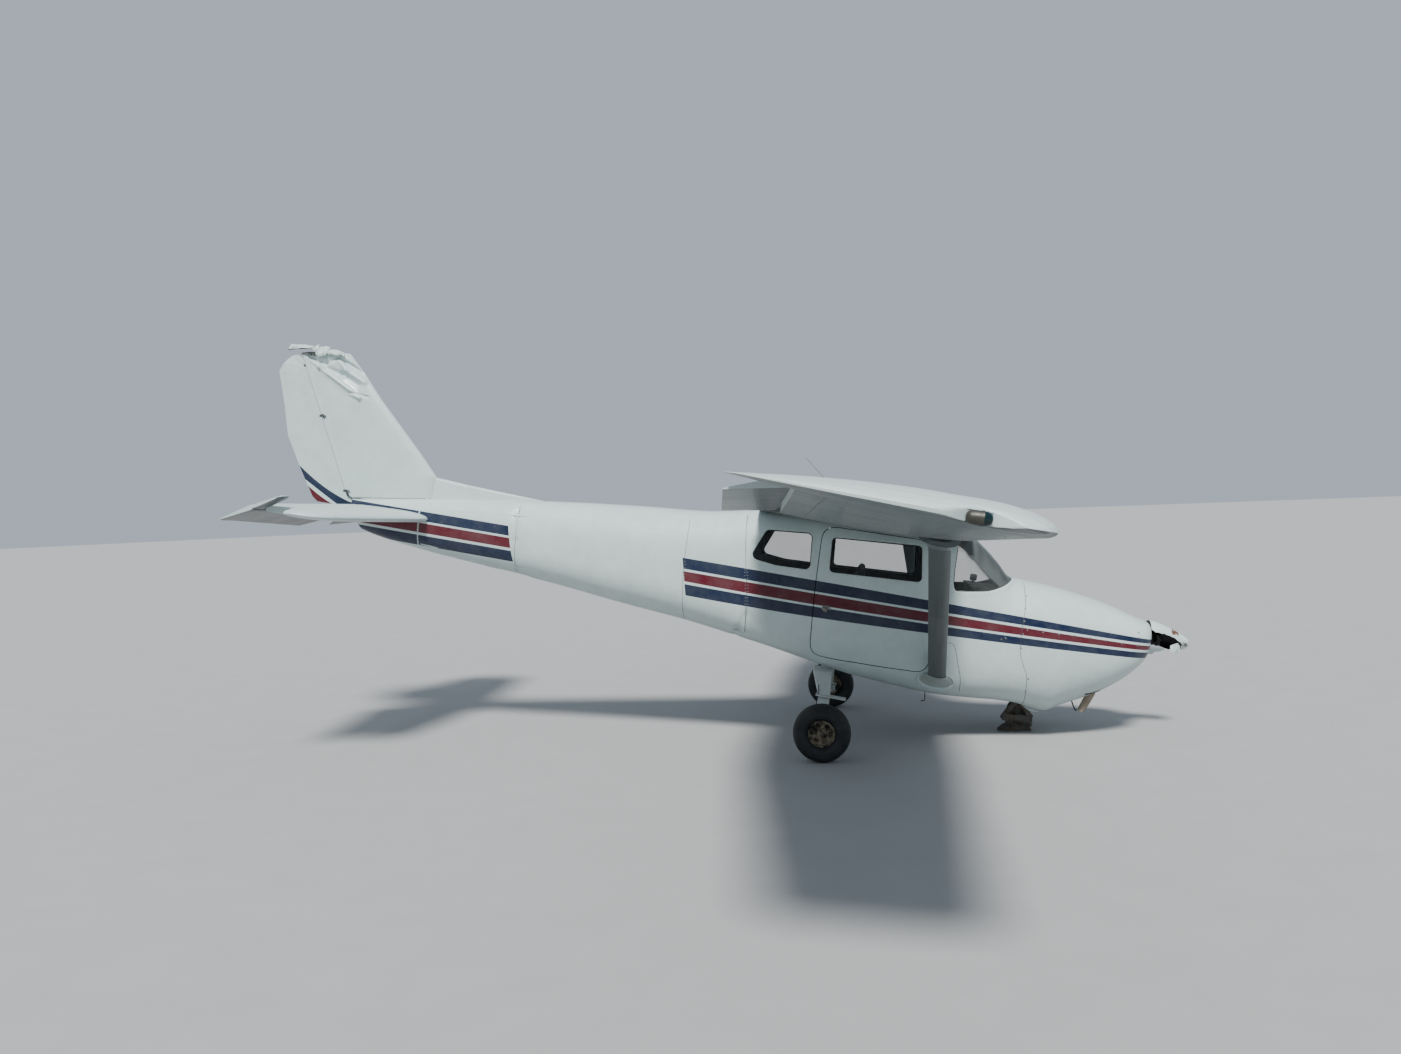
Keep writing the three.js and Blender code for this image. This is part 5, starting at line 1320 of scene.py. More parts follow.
# Antenna: a thin steel whip that leans back from a rubber foot on the roof.
steel_finish = mottled("bare_steel", (24.0, 7.0, 0.65), (0.24, 0.24, 0.23), (0.10, 0.075, 0.055),
                       (0.35, 0.30), (0.001, 0.3), Metallic=0.8)
whip_run = np.array([-461.0, 0, 382])
whip = spun([(4, 0), (3.6, 60), (2.6, 300), (1.9, 590), (2.6, 594), (2.6, 598.5)],
            (-1500, 0, 1662), whip_run, 14)
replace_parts(as_piece("antenna_whip", *whip, steel_finish, "airframe", "bare_steel", 50), "antenna")
whip_foot = spun([(30, -16), (30, 2), (24, 8), (13, 14), (8, 22), (7, 26)], (-1500, 0, 1662), (0, 0, 1), 32)
as_piece("antenna_foot", *whip_foot, rubber_finish, "airframe", "black_trim", 40)

# Spinner: spun aluminium, painted white, torn open along both sides where the blades came out.
# Its tip is scraped to bare and rusty metal, and a flap of skin hangs from the front of the tear.
axis_z = 1000  # height of the propeller's axis
tear_front = 1222
spinner_shape = np.array([(963.3, 137.6), (1013, 133.6), (1073, 118.6), (1143, 96.6), (1208, 69.6),
                          (1258, 49.6), (1285, 25.6), (1291, 1)])
upper_lip = np.array([(963, 1073), (998, 1059), (1074, 1054), (1148, 1036), (1184, 1016),
                      (1214, 993), (tear_front, 960)])
lower_lip = np.array([(963, 949), (991, 947), (1044, 950), (1092, 935), (1153, 919)])


def spinner_radius(x):
    return smooth_through(spinner_shape[:, 0], spinner_shape[:, 1:], x)[:, 0]


def spinner_skin(x, low, high, columns=73):
    """Grid of the spinner between two angles at each x, measured from the right side upward."""
    share = np.linspace(0, 1, columns)
    angle = low[:, None] * (1 - share) + high[:, None] * share
    radius = spinner_radius(x)[:, None] * np.ones(columns)
    ragged = 1 + 0.012 * np.sin(angle * 9 + x[:, None] / 17) * np.clip((x[:, None] - 1120) / 100, 0, 1)
    y, z = -radius * ragged * np.cos(angle), axis_z + radius * ragged * np.sin(angle)
    return np.stack([x[:, None] * np.ones(columns), y, z], -1)


def spinner_angle(x, z):
    """Angle from the spinner's right side up to a height on its skin."""
    return np.arcsin(np.clip((z - axis_z) / spinner_radius(x), -1, 1))


def spinner_paint(start):
    x, y, z, place = airframe_place(start)
    sockets = worn_paint(start, place, z, white_paint)
    patches = start.noise(place, 22.0, 7.0, 0.7)
    scraped = x.between(1.126, 1.200, 0.02) * z.above(1.050, 0.02)
    scraped = scraped + x.above(1.235, 0.12) * 0.45
    rust = (patches + scraped * 0.30).above(0.72, 0.05)
    bare = (patches + scraped * 0.28).above(0.66, 0.05)
    colour = bare.pick(sockets["Base Color"], (0.42, 0.41, 0.38, 1))
    colour = rust.pick(colour, (0.10, 0.042, 0.022, 1))
    # Painted shade: a dark blotchy patch on the skin at axis height, round the front of the tear.
    painted_tear_shade = x.between(1.190, 1.268, 0.02) * z.between(0.980, 1.008, 0.012) * patches.above(0.45, 0.1)
    sockets["Base Color"] = painted_tear_shade.pick(colour, (0.030, 0.026, 0.022, 1))
    sockets["Roughness"] = sockets["Roughness"] + rust * 0.3
    # Painted shade: faces on the inside of the shell are near black.
    depth = start.node("ShaderNodeTexCoord", out="Normal")
    nx = start.node("ShaderNodeSeparateXYZ", None, {0: depth}, out="X")
    outward = nx.also("Y") * y + (nx * turn_sin + nx.also("Z") * turn_cos) * (z - 1.0)
    inside = 1 - outward.above(-0.01, 0.02)
    sockets["Base Color"] = inside.pick(sockets["Base Color"], (0.010, 0.010, 0.011, 1))
    return sockets


spinner_finish = finish_of("spinner_paint", spinner_paint)
x = np.concatenate([np.linspace(963.3, 1214, 60), np.linspace(1217, 1291, 30)])
lip = np.interp(x, *upper_lip.T) + 1.5 * np.sin(x / 7.3) + np.sin(x / 2.9 + 1)
lowest = -np.pi / 2 + 0.002
low = np.where(x > tear_front, lowest, np.maximum(spinner_angle(x, lip), lowest))
# On the far side the shell reaches down to the tear's lower edge, on the near side to its upper edge
far_lip = np.interp(x, (963, 1044, 1092, 1160, 1190, tear_front), (949, 948, 935, 922, 938, 960))
far = np.where(x > tear_front, low, spinner_angle(x, far_lip))
shell = plate(spinner_skin(x, low, np.pi - far), 1.8)
x = np.linspace(963.3, 1090, 40)
lip = np.interp(x, *lower_lip.T) + 2 * np.sin(x / 6.1) + 1.5 * np.sin(x / 2.3)
high = spinner_angle(x, lip)
# Ahead of the backplate only a strip of the lower shell is left, on the near side
strip_foot = spinner_angle(x, np.interp(x, (1019, 1060, 1090), (897, 906, 930)))
near = np.clip((x - 1000) / 22, 0, 1)
tray = plate(spinner_skin(x, (-np.pi - high) * (1 - near) + strip_foot * near, high, 41), 1.8)
spinner_piece = as_piece("spinner_torn", *joined([shell, tray]), spinner_finish, "propeller",
                         "body_paint", 40)
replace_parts(spinner_piece, "spinner_shell")
u, v = np.meshgrid(np.linspace(0, 1, 22), np.linspace(0, 1, 16), indexing="ij")
flap_top = spaced([(1137, 963), (1166, 980), (1190, 997), (1205, 988)], 22, False)
flap_foot = spaced([(1148, 915), (1170, 903), (1220, 930)], 22, False)
side_view = flap_top[:, None] * (1 - v[..., None]) + flap_foot[:, None] * v[..., None]
hang_y = -58 - 10 * np.sin(v * 2.4) + 7 * np.sin(u * 6 + v * 3)
hang = np.stack([side_view[..., 0], hang_y, side_view[..., 1]], -1)
as_piece("spinner_flap", *plate(hang, 1.6), spinner_finish, "propeller", "body_paint", 40)

# Propeller hub: an iron boss on the shaft flange with six bolts, the snapped blade roots and the
# spinner's aluminium backplate with its stiffened rim.
sooty_finish = mottled("sooty_metal", (18.0, 7.0, 0.65), (0.007, 0.007, 0.008), (0.030, 0.029, 0.028),
                       (0.3, 0.42), (0.003, 0.5), Metallic=0.5)
iron_finish = mottled("engine_iron", (11.0, 8.0, 0.7), (0.030, 0.029, 0.028), (0.20, 0.195, 0.185),
                      (0.25, 0.55), (0.004, 0.5), Metallic=0.35)
forward = (1, 0, 0)
hub_place = (0, 0, axis_z)
boss = spun([(46, 952.6), (60, 954), (60, 1010), (56, 1014), (56, 1036), (60, 1040), (60, 1056),
             (55, 1060), (24, 1060), (22, 1066), (4, 1067)], hub_place, forward, 56)
plate_disc = spun([(40, 956.5), (131, 956.8), (134, 958), (134, 962), (131, 963), (124, 962),
                   (120, 959.6), (40, 959.6)], hub_place, forward, 96, closed=True)
bolts = [spun([(8, 1058), (8, 1068), (6.5, 1070), (0.5, 1070)],
              (0, 44 * math.cos(a), axis_z + 44 * math.sin(a)), forward, 6) for a in round_angles(6)]


def blade_root(side):
    """A snapped blade: its section grows thinner outward and ends in a jagged break."""
    rings = []
    turn = round_angles(40)
    for reach, half, thick, twist in ((38, 29, 17, 0.6), (60, 33, 16, 0.45), (84, 36, 13, 0.3),
                                      (100, 35, 10.5, 0.18), (109, 33, 9, 0.1)):
        a, b = half * np.cos(turn), thick * np.sin(turn) * (0.9 + 0.1 * np.cos(turn))
        jag = (reach > 105) * (5 * np.sin(turn * 5 + 1) + 3 * np.sin(turn * 9))
        rings.append(np.stack([1024 + b * math.cos(twist) - a * math.sin(twist), side * (reach + jag),
                               axis_z + b * math.sin(twist) + a * math.cos(twist)], 1))
    return skinned(rings)


hub = joined([boss, plate_disc, *bolts, blade_root(1), blade_root(-1)])
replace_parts(as_piece("hub_and_roots", *hub, sooty_finish, "propeller", "bare_steel", 35), "propeller_hub")

# Engine: a flat four with finned iron cylinders, seen through the cowl's intakes, on steel tube mounts.


def rounded_box(low, high, corner):
    """Closed box with rounded upright edges and a small chamfer above and below."""
    low, high = np.array(low, float), np.array(high, float)
    turn = np.linspace(0, np.pi / 2, 6)
    middle, half = (low + high) / 2, (high - low) / 2
    ring = []
    for quarter, (sx, sy) in enumerate(((1, 1), (-1, 1), (-1, -1), (1, -1))):
        a = turn + quarter * np.pi / 2
        ring.append(np.stack([middle[0] + sx * (half[0] - corner) + corner * np.cos(a),
                              middle[1] + sy * (half[1] - corner) + corner * np.sin(a)], 1))
    ring = np.vstack(ring)
    rows = []
    for z, shrink in ((low[2], corner * 0.35), (low[2] + corner * 0.35, 0), (high[2] - corner * 0.35, 0),
                      (high[2], corner * 0.35)):
        inner = middle[:2] + (ring - middle[:2]) * (1 - shrink / half[:2])
        rows.append(np.column_stack([inner, np.full(len(ring), z)]))
    return skinned(rows)


def cylinder(x, side):
    """Cooling fins up the barrel and head of one cylinder, and its rocker cover."""
    profile = [(62, 95)]
    for k in range(14):
        reach = 76 if k < 9 else 84
        start_y = 97 + k * 8.0
        profile += [(62, start_y), (reach, start_y + 1.2), (reach, start_y + 2.8), (62, start_y + 4)]
    profile += [(60, 212), (52, 226), (50, 246), (40, 250), (2, 250)]
    return spun(profile, (x, 0, 930), (0, side, 0), 36)


block = [rounded_box((150, -96, 830), (770, 96, 1030), 26),
         rounded_box((200, -120, 722), (700, 120, 832), 22),
         rounded_box((140, -60, 1028), (330, 60, 1070), 12),
         rounded_box((640, -70, 1028), (740, 70, 1072), 14)]
block += [cylinder(x, side) for side, places in ((1, (300, 560)), (-1, (260, 520))) for x in places]
# Mount tubes from the firewall, and the shaft with its collar
block += [spun([(16, 0), (16, 165)], (-28.7, y, z), forward, 16) for y in (200, -200) for z in (760, 1040)]
block += [spun([(42, 785), (42, 950), (1, 950)], hub_place, forward, 40),
          spun([(46, 760), (96, 766), (96, 782), (42, 786)], hub_place, forward, 48)]
a = round_angles(12)
block += [skinned([np.stack([np.full(12, x), y + 12 * np.cos(a), 900 + 12 * np.sin(a)], 1)
                   for x in (-28.7, 150)]) for y in (170, -170)]
engine = as_piece("engine_flat_four", *joined(block), iron_finish, "airframe", "engine_iron", 35)
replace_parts(engine, "engine_block")

# Firewall: stainless sheet behind the engine.


def repaint(node, finish):
    """Give a node of the CAD part another finish, its shape unchanged."""
    for socket in frame["nodes"][node].material_slots:
        socket.material = finish


repaint("firewall", steel_finish)

# Exhaust: a rusty steel tailpipe that sticks out of the cowl's underside, its end knocked oval.


def rusty_pipe(start):
    place = start.place()
    scale = start.noise(place, 28.0, 8.0, 0.7)
    dark = start.noise(place, 7.0, 4.0)
    warm = scale.pick((0.20, 0.150, 0.105, 1), (0.40, 0.345, 0.28, 1))
    return {"Base Color": dark.above(0.56, 0.2).pick(warm, (0.045, 0.028, 0.020, 1)), "Metallic": 0.3,
            "Roughness": 0.85, "Normal": scale.bump(0.004, 0.7)}


pipe_finish = finish_of("rusty_pipe", rusty_pipe)
pipe_from, pipe_to = np.array([575.0, -200, 520]), np.array([509.0, -200, 347])
turn = round_angles(44)
pipe_side = np.cross(unit(pipe_to - pipe_from), (0, 1, 0))
rings = []
for t, radius, squeeze in ((0, 30, 0), (0.5, 30, 0), (0.8, 30, 0.08), (0.94, 30, 0.2), (1.0, 30.5, 0.3),
                           (1.0, 26, 0.3), (0.94, 26, 0.2), (0.5, 26, 0), (0.0, 26, 0)):
    wide = np.cos(turn) * radius * (1 + squeeze * 0.4)
    tall = np.sin(turn) * radius * (1 - squeeze) + 1.2 * np.sin(turn * 3 + t * 4)
    rings.append(pipe_from + (pipe_to - pipe_from) * t + wide[:, None] * np.array([0, 1.0, 0])
                 + tall[:, None] * pipe_side)
pipe = as_piece("exhaust_pipe", *skinned(rings, True), pipe_finish, "airframe", "rusty_steel", 40)
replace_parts(pipe, "exhaust_stack")

# Main gear: a flat spring steel leaf on each side with rolled edges, painted grey, with a step plate,
# an axle flange, a brake caliper and a brake hose along the leaf's back.
# Middle x, y and z, width and slope along the leaf
leaf_rows = np.array([(-1546, 300, 372, 150, 0.25), (-1546, 420, 335, 150, 0.5), (-1506, 600, 196, 97, 0.62),
                      (-1492, 880, 14, 84, 0.5), (-1486, 955, -22, 84, 0.4)])
wheel_x, axle_run = -1473.0, (0, 1, 0)


def gear_paint(start):
    _, _, z, place = airframe_place(start)
    sockets = worn_paint(start, place, z + 0.25, (0.56, 0.60, 0.58, 1), 0.42)
    chips = start.noise(place, 46.0, 6.0, 0.7).above(0.63, 0.04)
    sockets["Base Color"] = chips.pick(sockets["Base Color"], (0.09, 0.06, 0.045, 1))
    return sockets


gear_finish = finish_of("gear_paint", gear_paint)


def leaf_ring(x, y, z, width, slope):
    """A flat bar's section with half round edges, square to the leaf."""
    turn = round_angles(32)
    across = np.array([0, math.sin(slope), math.cos(slope)])
    u = np.sign(np.cos(turn)) * (width / 2 - 11 + 11 * np.abs(np.cos(turn)))
    v = 11 * np.sign(np.sin(turn)) * np.abs(np.sin(turn)) ** 0.6
    return np.array([x, y, z]) + u[:, None] * np.array([1.0, 0, 0]) + v[:, None] * across


leaf_y = np.linspace(330, 955, 52)
leaf_at = [np.interp(leaf_y, leaf_rows[:, 1], leaf_rows[:, k]) for k in range(5)]
leaf = skinned([leaf_ring(*row) for row in zip(*leaf_at)])
step = skinned([[(x, y, z) for y, z in ((567, 186.5), (664, 186.5), (664, 195.5), (567, 195.5))]
                for x in np.linspace(-1569, -1332, 30)])
ribs = [skinned([[(x + a, y, 195 + b) for a, b in ((-1.6, 0), (1.6, 0), (0.8, 2.4), (-0.8, 2.4))]
                 for y in (572, 660)]) for x in range(-1560, -1336, 11)]
flange = rounded_box((-1523, 947, -44), (-1423, 961.5, 41), 7)
axle = spun([(19, 955), (19, 1150), (16, 1154), (1, 1154)], (wheel_x, 0, 0), axle_run, 40)
caliper = [rounded_box((-1434, 951, -27), (-1395, 990, 27), 9),
           rounded_box((-1434, 988, -22), (-1398, 1013, 22), 8),
           rounded_box((-1428, 944, -14), (-1408, 953, 14), 4)]
bolts = [spun([(7, 940), (7, 948), (1, 948)], (x, 0, z), axle_run, 6)
         for x in (-1510, -1436) for z in (-32, 28)]
hose_t = np.linspace(0, 1, 60)
hose = np.stack([-1546 + 48 * hose_t + 6 * np.sin(hose_t * 9), 500 + 445 * hose_t,
                 300 - 318 * hose_t + 10 * np.sin(hose_t * 7)], 1) + (-22, 0, -24)


def tube_along(path, radius, sides=12):
    """Rings of a round tube along a path."""
    run = unit(np.gradient(path, axis=0))
    one = unit(np.cross(run, (0.9, 0.1, 0.42)))
    two = np.cross(run, one)
    turn = round_angles(sides)[:, None]
    return path[:, None] + radius * (one[:, None] * np.cos(turn) + two[:, None] * np.sin(turn))


for side, word in both_sides:
    leg = as_piece(f"gear_leaf_{word}", *joined([leaf, flange]), gear_finish, "airframe", "gear_paint",
                   40, side)
    stub = as_piece(f"axle_and_brake_{word}", *joined([axle, *caliper, *bolts]), sooty_finish, "airframe",
                    "bare_steel", 35, side)
    for piece in (leg, stub):
        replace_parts(piece, f"gear_leg_{word}")
    as_piece(f"brake_hose_{word}", *skinned(tube_along(hose, 3.2)), rubber_finish, "airframe",
             "black_trim", 60, side)

# Only the right leg still has its step
treads = as_piece("gear_step_right", *joined([step, *ribs]), gear_finish, "airframe", "gear_paint", 30, -1)
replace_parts(treads, "gear_leg_right")

# Main wheels: cast magnesium halves with lightening holes, a ring of through bolts, a bearing cap,
# and a brake disc inboard. The castings are corroded tan, and the hollows are black with grease.
wheel_middle = np.array([wheel_x, 1092, 0])


def old_casting(start):
    place = start.place()
    corroded = start.noise(place, 34.0, 8.0, 0.7)
    grease = start.noise(place, 13.0, 5.0, 0.6).above(0.50, 0.14)
    tan = corroded.pick((0.125, 0.098, 0.062, 1), (0.36, 0.31, 0.22, 1))
    return {"Base Color": grease.pick(tan, (0.016, 0.014, 0.012, 1)), "Metallic": 0.25, "Roughness": 0.75,
            "Normal": corroded.bump(0.003, 0.6)}


def old_tyre(start):
    place = start.place()
    dust = start.noise(place, 12.0, 7.0, 0.65)
    cracks = start.noise(place, 70.0, 4.0, 0.8)
    return {"Base Color": dust.above(0.5, 0.3).pick((0.0065, 0.0075, 0.0095, 1), (0.026, 0.027, 0.028, 1)),
            "Roughness": dust * 0.2 + 0.62, "Normal": cracks.bump(0.0012, 0.5)}


casting_finish, tyre_finish = finish_of("old_casting", old_casting), finish_of("old_tyre", old_tyre)


def pocketed_disc(y_face, deep):
    """Face of a wheel half: a dished ring with six ribs and six round hollows between them."""
    r = np.linspace(30, 88, 26)[:, None]
    turn = round_angles(144)[None]
    apart = np.pi / 6
    nearest = (turn + apart) % (2 * apart) - apart
    away = np.hypot(r * np.cos(nearest) - 63, r * np.sin(nearest) * 0.78)
    pocket = 1 / (1 + np.exp(away - 13))
    rib = 3.5 * np.exp(-((np.abs(nearest) - apart) * r / 6) ** 2)
    return wheel_middle + np.stack([r * np.cos(turn), y_face + rib - pocket * deep, r * np.sin(turn)], -1)


face, inner_face = pocketed_disc(30, 26), pocketed_disc(-30, 0)
disc = skinned(np.concatenate([face, inner_face[::-1]]), True)
rim = spun([(86, -51.5), (99.6, -51.5), (99.6, 51.5), (96, 54), (92, 54), (88, 50), (86, 40), (86, -40)],
           wheel_middle, axle_run, 96, closed=True)
bearing = spun([(19.6, -71.5), (79.5, -71.5), (79.5, -64.5), (50, -64.5), (46, -58), (46, -26), (34, -24),
                (34, 28), (38, 32), (38, 44), (34, 49), (26, 52), (19.6, 52)],
               wheel_middle, axle_run, 72, closed=True)
dust_cap = spun([(25, 50), (24, 58), (18, 62), (1, 63)], wheel_middle, axle_run, 40)
nuts = [spun([(6.4, 26), (6.4, 37), (5.2, 38.5), (3.2, 38.5), (3.2, 43), (0.5, 43)],
             wheel_middle + (82 * math.cos(a), 0, 82 * math.sin(a)), axle_run, 6)
        for a in round_angles(12) + math.pi / 12]
valve = spun([(3, 20), (3, 40), (2, 44), (0.4, 44)], wheel_middle + (50, 0, 52), axle_run, 10)
tyre_rows = []
for a in np.linspace(-2.62, 2.62, 81):
    # Superellipse section between the beads, with three grooves round the tread
    c, s = math.cos(a), math.sin(a)
    radial = 156 + 59 * math.copysign(abs(c) ** 0.72, c)
    wide = 80 * math.copysign(abs(s) ** 0.80, s)
    groove = 4.0 * sum(math.exp(-((wide - at) / 3.2) ** 2) for at in (-30, 0, 30)) * (c > 0.5)
    ridge = 1.6 * math.exp(-((radial - 178) / 3.0) ** 2) + 1.2 * math.exp(-((radial - 118) / 2.5) ** 2)
    tyre_rows.append((radial - groove, wide + math.copysign(ridge, s) * (abs(s) > 0.5)))
tyre_rows += [(100.4, 46), (100.4, -46)]
tyre = spun(tyre_rows, wheel_middle, axle_run, 144, closed=True)
for side, word in both_sides:
    body = f"main_wheel_{word}"
    wheel = as_piece(f"wheel_casting_{word}", *joined([disc, rim, bearing, dust_cap]), casting_finish, body,
                     "hub_casting", 40, side)
    fastened = as_piece(f"wheel_nuts_{word}", *joined([*nuts, valve]), screw_finish, body,
                        "hub_casting", 30, side)
    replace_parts(wheel, f"wheel_hub_{word}")
    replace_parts(fastened, f"wheel_hub_{word}")
    ribbed = as_piece(f"tyre_ribbed_{word}", *tyre, tyre_finish, body, "tyre_rubber", 50, side)
    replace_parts(ribbed, f"tyre_{word}")

# Broken nose leg: the bent stub of the strut, torn fork plates and a crushed foot, scraped and dark
# with oil. The nose lies on it.


def ground_z(x):
    """Height of the ground under a place ahead of the firewall, in the airframe's frame."""
    return -215 / math.cos(nose_down) + (np.asarray(x, float) - wheel_x) * math.tan(nose_down)


def wreck_metal(start):
    place = start.place()
    torn = start.noise(place, 25.0, 8.0, 0.75)
    earth = start.noise(place, 9.0, 6.0, 0.7).above(0.5, 0.12)
    steel = torn.pick((0.018, 0.017, 0.016, 1), (0.16, 0.155, 0.145, 1))
    return {"Base Color": (earth * 0.6).pick(steel, (0.10, 0.075, 0.048, 1)), "Metallic": 0.35,
            "Roughness": 0.8, "Normal": torn.bump(0.006, 0.8)}


wreck_finish = finish_of("wreck_metal", wreck_metal)
t = np.linspace(0, 1, 30)
stub_path = np.stack([60 + 16 * t ** 2, 10 + 6 * np.sin(t * 4), 392 - t * 215], 1)
stub_rings = tube_along(stub_path, 25, 28)
stub_rings += (np.sin(np.linspace(0, 6 * np.pi, 28))[None, :, None] * np.sin(t * 5)[:, None, None] * 3)
u, v = np.meshgrid(np.linspace(-1, 1, 30), np.linspace(-1, 1, 24), indexing="ij")
heap_x = 66 + 126 * u + 6 * np.sin(v * 9)
heap_y = 24 + 86 * v * (1 - 0.22 * u ** 2) + 5 * np.sin(u * 8 + v * 3)
heap = (62 + 16 * np.sin(u * 12 + v * 7)) * (1 - np.abs(u) ** 2.2) * (1 - np.abs(v) ** 2.6)
heap_points = np.vstack([np.stack([heap_x, heap_y, ground_z(heap_x) + lift], -1).reshape(-1, 3)
                         for lift in (4 + np.maximum(heap, 0), 0.6)])
sheet_faces = grid_faces(30, 24)
i, j = np.arange(29), np.arange(23)
rim_edges = np.concatenate([np.stack([j, j + 1], 1), np.stack([j + 1, j], 1) + 29 * 24,
                            np.stack([(i + 1) * 24, i * 24], 1), np.stack([i, i + 1], 1) * 24 + 23])
a, b = rim_edges.T
below = 30 * 24
heap_faces = np.concatenate([sheet_faces, sheet_faces[:, ::-1] + below, np.stack([b, a, a + below], 1),
                             np.stack([b, a + below, b + below], 1)])
fork = []
# The plates that fan down from the top are torn metal, and they also fill the dark hollow under the cowl as
# painted shade.
# Torn plates, each from x, z to x, z, then y at both ends, half width and bend
for x0, z0, x1, z1, y0, y1, half, bend in (
        (42, 318, -58, 150, -62, -40, 17, 12), (62, 316, 178, 206, -58, -36, 18, -10),
        (52, 320, 112, 118, 10, 34, 26, 14), (36, 320, -16, 120, 66, 84, 24, -12),
        (-52, 172, 182, 188, -66, -50, 26, 9), (-20, 150, 196, 130, -20, 20, 20, -8),
        (10, 150, 196, 120, 20, 60, 13, -8)):
    s, w = np.meshgrid(np.linspace(0, 1, 26), np.linspace(-1, 1, 9), indexing="ij")
    length = math.hypot(x1 - x0, z1 - z0)
    px = x0 + (x1 - x0) * s + w * half * (z0 - z1) / length + 3 * np.sin(s * 14)
    pz = z0 + (z1 - z0) * s + w * half * (x1 - x0) / length + 4 * np.sin(s * 9 + w * 2)
    py = y0 + (y1 - y0) * s + bend * np.sin(s * 3.1) + 4 * w * np.sin(s * 9)
    fork.append(plate(np.stack([px, py, np.maximum(pz, ground_z(px) + 6)], -1), 4.0))
# A torn dark sheet hangs across the gap behind the plates, from the belly to the heap: it fills the dark
# hollow there as painted shade
s, w = np.meshgrid(np.linspace(0, 1, 30), np.linspace(0, 1, 18), indexing="ij")
px = (24 + 76 * s) * (1 - w) + (-58 + 240 * s) * w
pz = 322 * (1 - w) + (158 + 46 * s ** 2) * w + 5 * np.sin(s * 17)
fork.append(plate(np.stack([px, 6 + 14 * np.sin(s * 7 + w * 3) + 18 * w, pz], -1), 3.0))
wreck = joined([skinned(stub_rings), (heap_points, turned_out(heap_points, heap_faces)), *fork])
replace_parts(as_piece("nose_leg_wreck", *wreck, wreck_finish, "airframe", "bare_steel", 35), "nose_leg_stump")

# Torn cowl lip: the lower cowl's sheet curled down and back where the nose leg was pushed through.
u, v = np.meshgrid(np.linspace(0, 1, 30), np.linspace(0, 1, 12), indexing="ij")
lip_x = 80 + 154 * u
lip_y = -78 - 22 * np.sin(u * 3) + 18 * v
lip = np.stack([lip_x, lip_y, 296 - 30 * u - 20 * v * np.sin(u * 2.9 + 0.2) + 3 * np.sin(u * 11)], -1)
as_piece("torn_cowl_lip", *plate(lip, 1.6), torn_finish, "airframe", "body_paint", 40)

# Belly drain: a short bent tube under the cabin.
drain_path = [(-714, -250, 312), (-709, -250, 270), (-702, -250, 236), (-712, -250, 222), (-734, -250, 220)]
as_piece("belly_drain", *skinned(tube_along(rounded(drain_path, 2, False), 4)), rubber_finish, "airframe",
         "black_trim", 50)

# Cowl drain: a dark hooked hose behind the exhaust, and a streak of soot on the skin beside them.
drain_path = [(436, -150, 424), (448, -150, 396), (470, -150, 356), (486, -150, 336), (492, -150, 348)]
as_piece("cowl_drain", *skinned(tube_along(rounded(drain_path, 2, False), 5.5)), rubber_finish, "airframe",
         "black_trim", 60)
soot = skin_ribbon([(498, 500), (548, 506), (600, 530), (632, 540)], 26, 0.9)
as_piece("cowl_soot", *soot, seam_finish, "airframe", "black_trim", 60, -1)

# Cabin floor and baggage wall: worn charcoal carpet on the plywood floor and on the wall behind it.


def worn_carpet(start):
    place = start.place()
    pile = start.noise(place, 260.0, 3.0, 0.8)
    worn = start.noise(place, 5.0, 5.0, 0.6)
    dark = pile.pick((0.012, 0.013, 0.015, 1), (0.045, 0.046, 0.050, 1))
    return {"Base Color": worn.above(0.55, 0.2).pick(dark, (0.085, 0.080, 0.070, 1)), "Roughness": 0.95,
            "Normal": pile.bump(0.003, 0.8)}


def crackle_trim(start):
    place = start.place()
    grain = start.noise(place, 190.0, 3.0, 0.7)
    dust = start.noise(place, 6.0, 5.0, 0.6)
    return {"Base Color": dust.pick((0.012, 0.012, 0.013, 1), (0.032, 0.032, 0.031, 1)), "Roughness": 0.7,
            "Normal": grain.bump(0.0008, 0.6)}


carpet_finish, trim_finish = finish_of("worn_carpet", worn_carpet), finish_of("crackle_trim", crackle_trim)
repaint("cabin_floor", carpet_finish)
repaint("baggage_wall", carpet_finish)

# Instrument panel: black crackle sheet under a hooded shelf, with round instruments, a radio stack,
# switches and knobs on its rear face.
repaint("instrument_panel", trim_finish)


def dial_face(start):
    """Black dials with pale tick marks round the edge and a needle, read from the dial's own attribute."""
    u = start.node("ShaderNodeAttribute", {"attribute_name": "dial_u"}, out="Fac")
    v = start.node("ShaderNodeAttribute", {"attribute_name": "dial_v"}, out="Fac")
    reach = (u * u + v * v).math("SQRT")
    angle = v.math("ARCTAN2", u)
    ticks = (angle * 12).math("COSINE").above(0.80, 0.1) * reach.between(0.72, 0.92, 0.03)
    needle = ((u * 0.8 - v * 0.6).math("ABSOLUTE").between(-1, 0.05, 0.02)
              * (u * 0.6 + v * 0.8).between(-0.15, 0.7, 0.02))
    mark = (ticks + needle).math("MINIMUM", 1.0)
    return {"Base Color": mark.pick((0.006, 0.006, 0.007, 1), (0.65, 0.65, 0.60, 1)), "Roughness": 0.25,
            "Coat Weight": 0.6}


dial_finish = finish_of("dial_face", dial_face)
backward = (-1, 0, 0)


def panel_x(z):
    """Rear face of the instrument panel at a height."""
    return np.interp(z, (900, 1000, 1195), (-440, -470, -450))


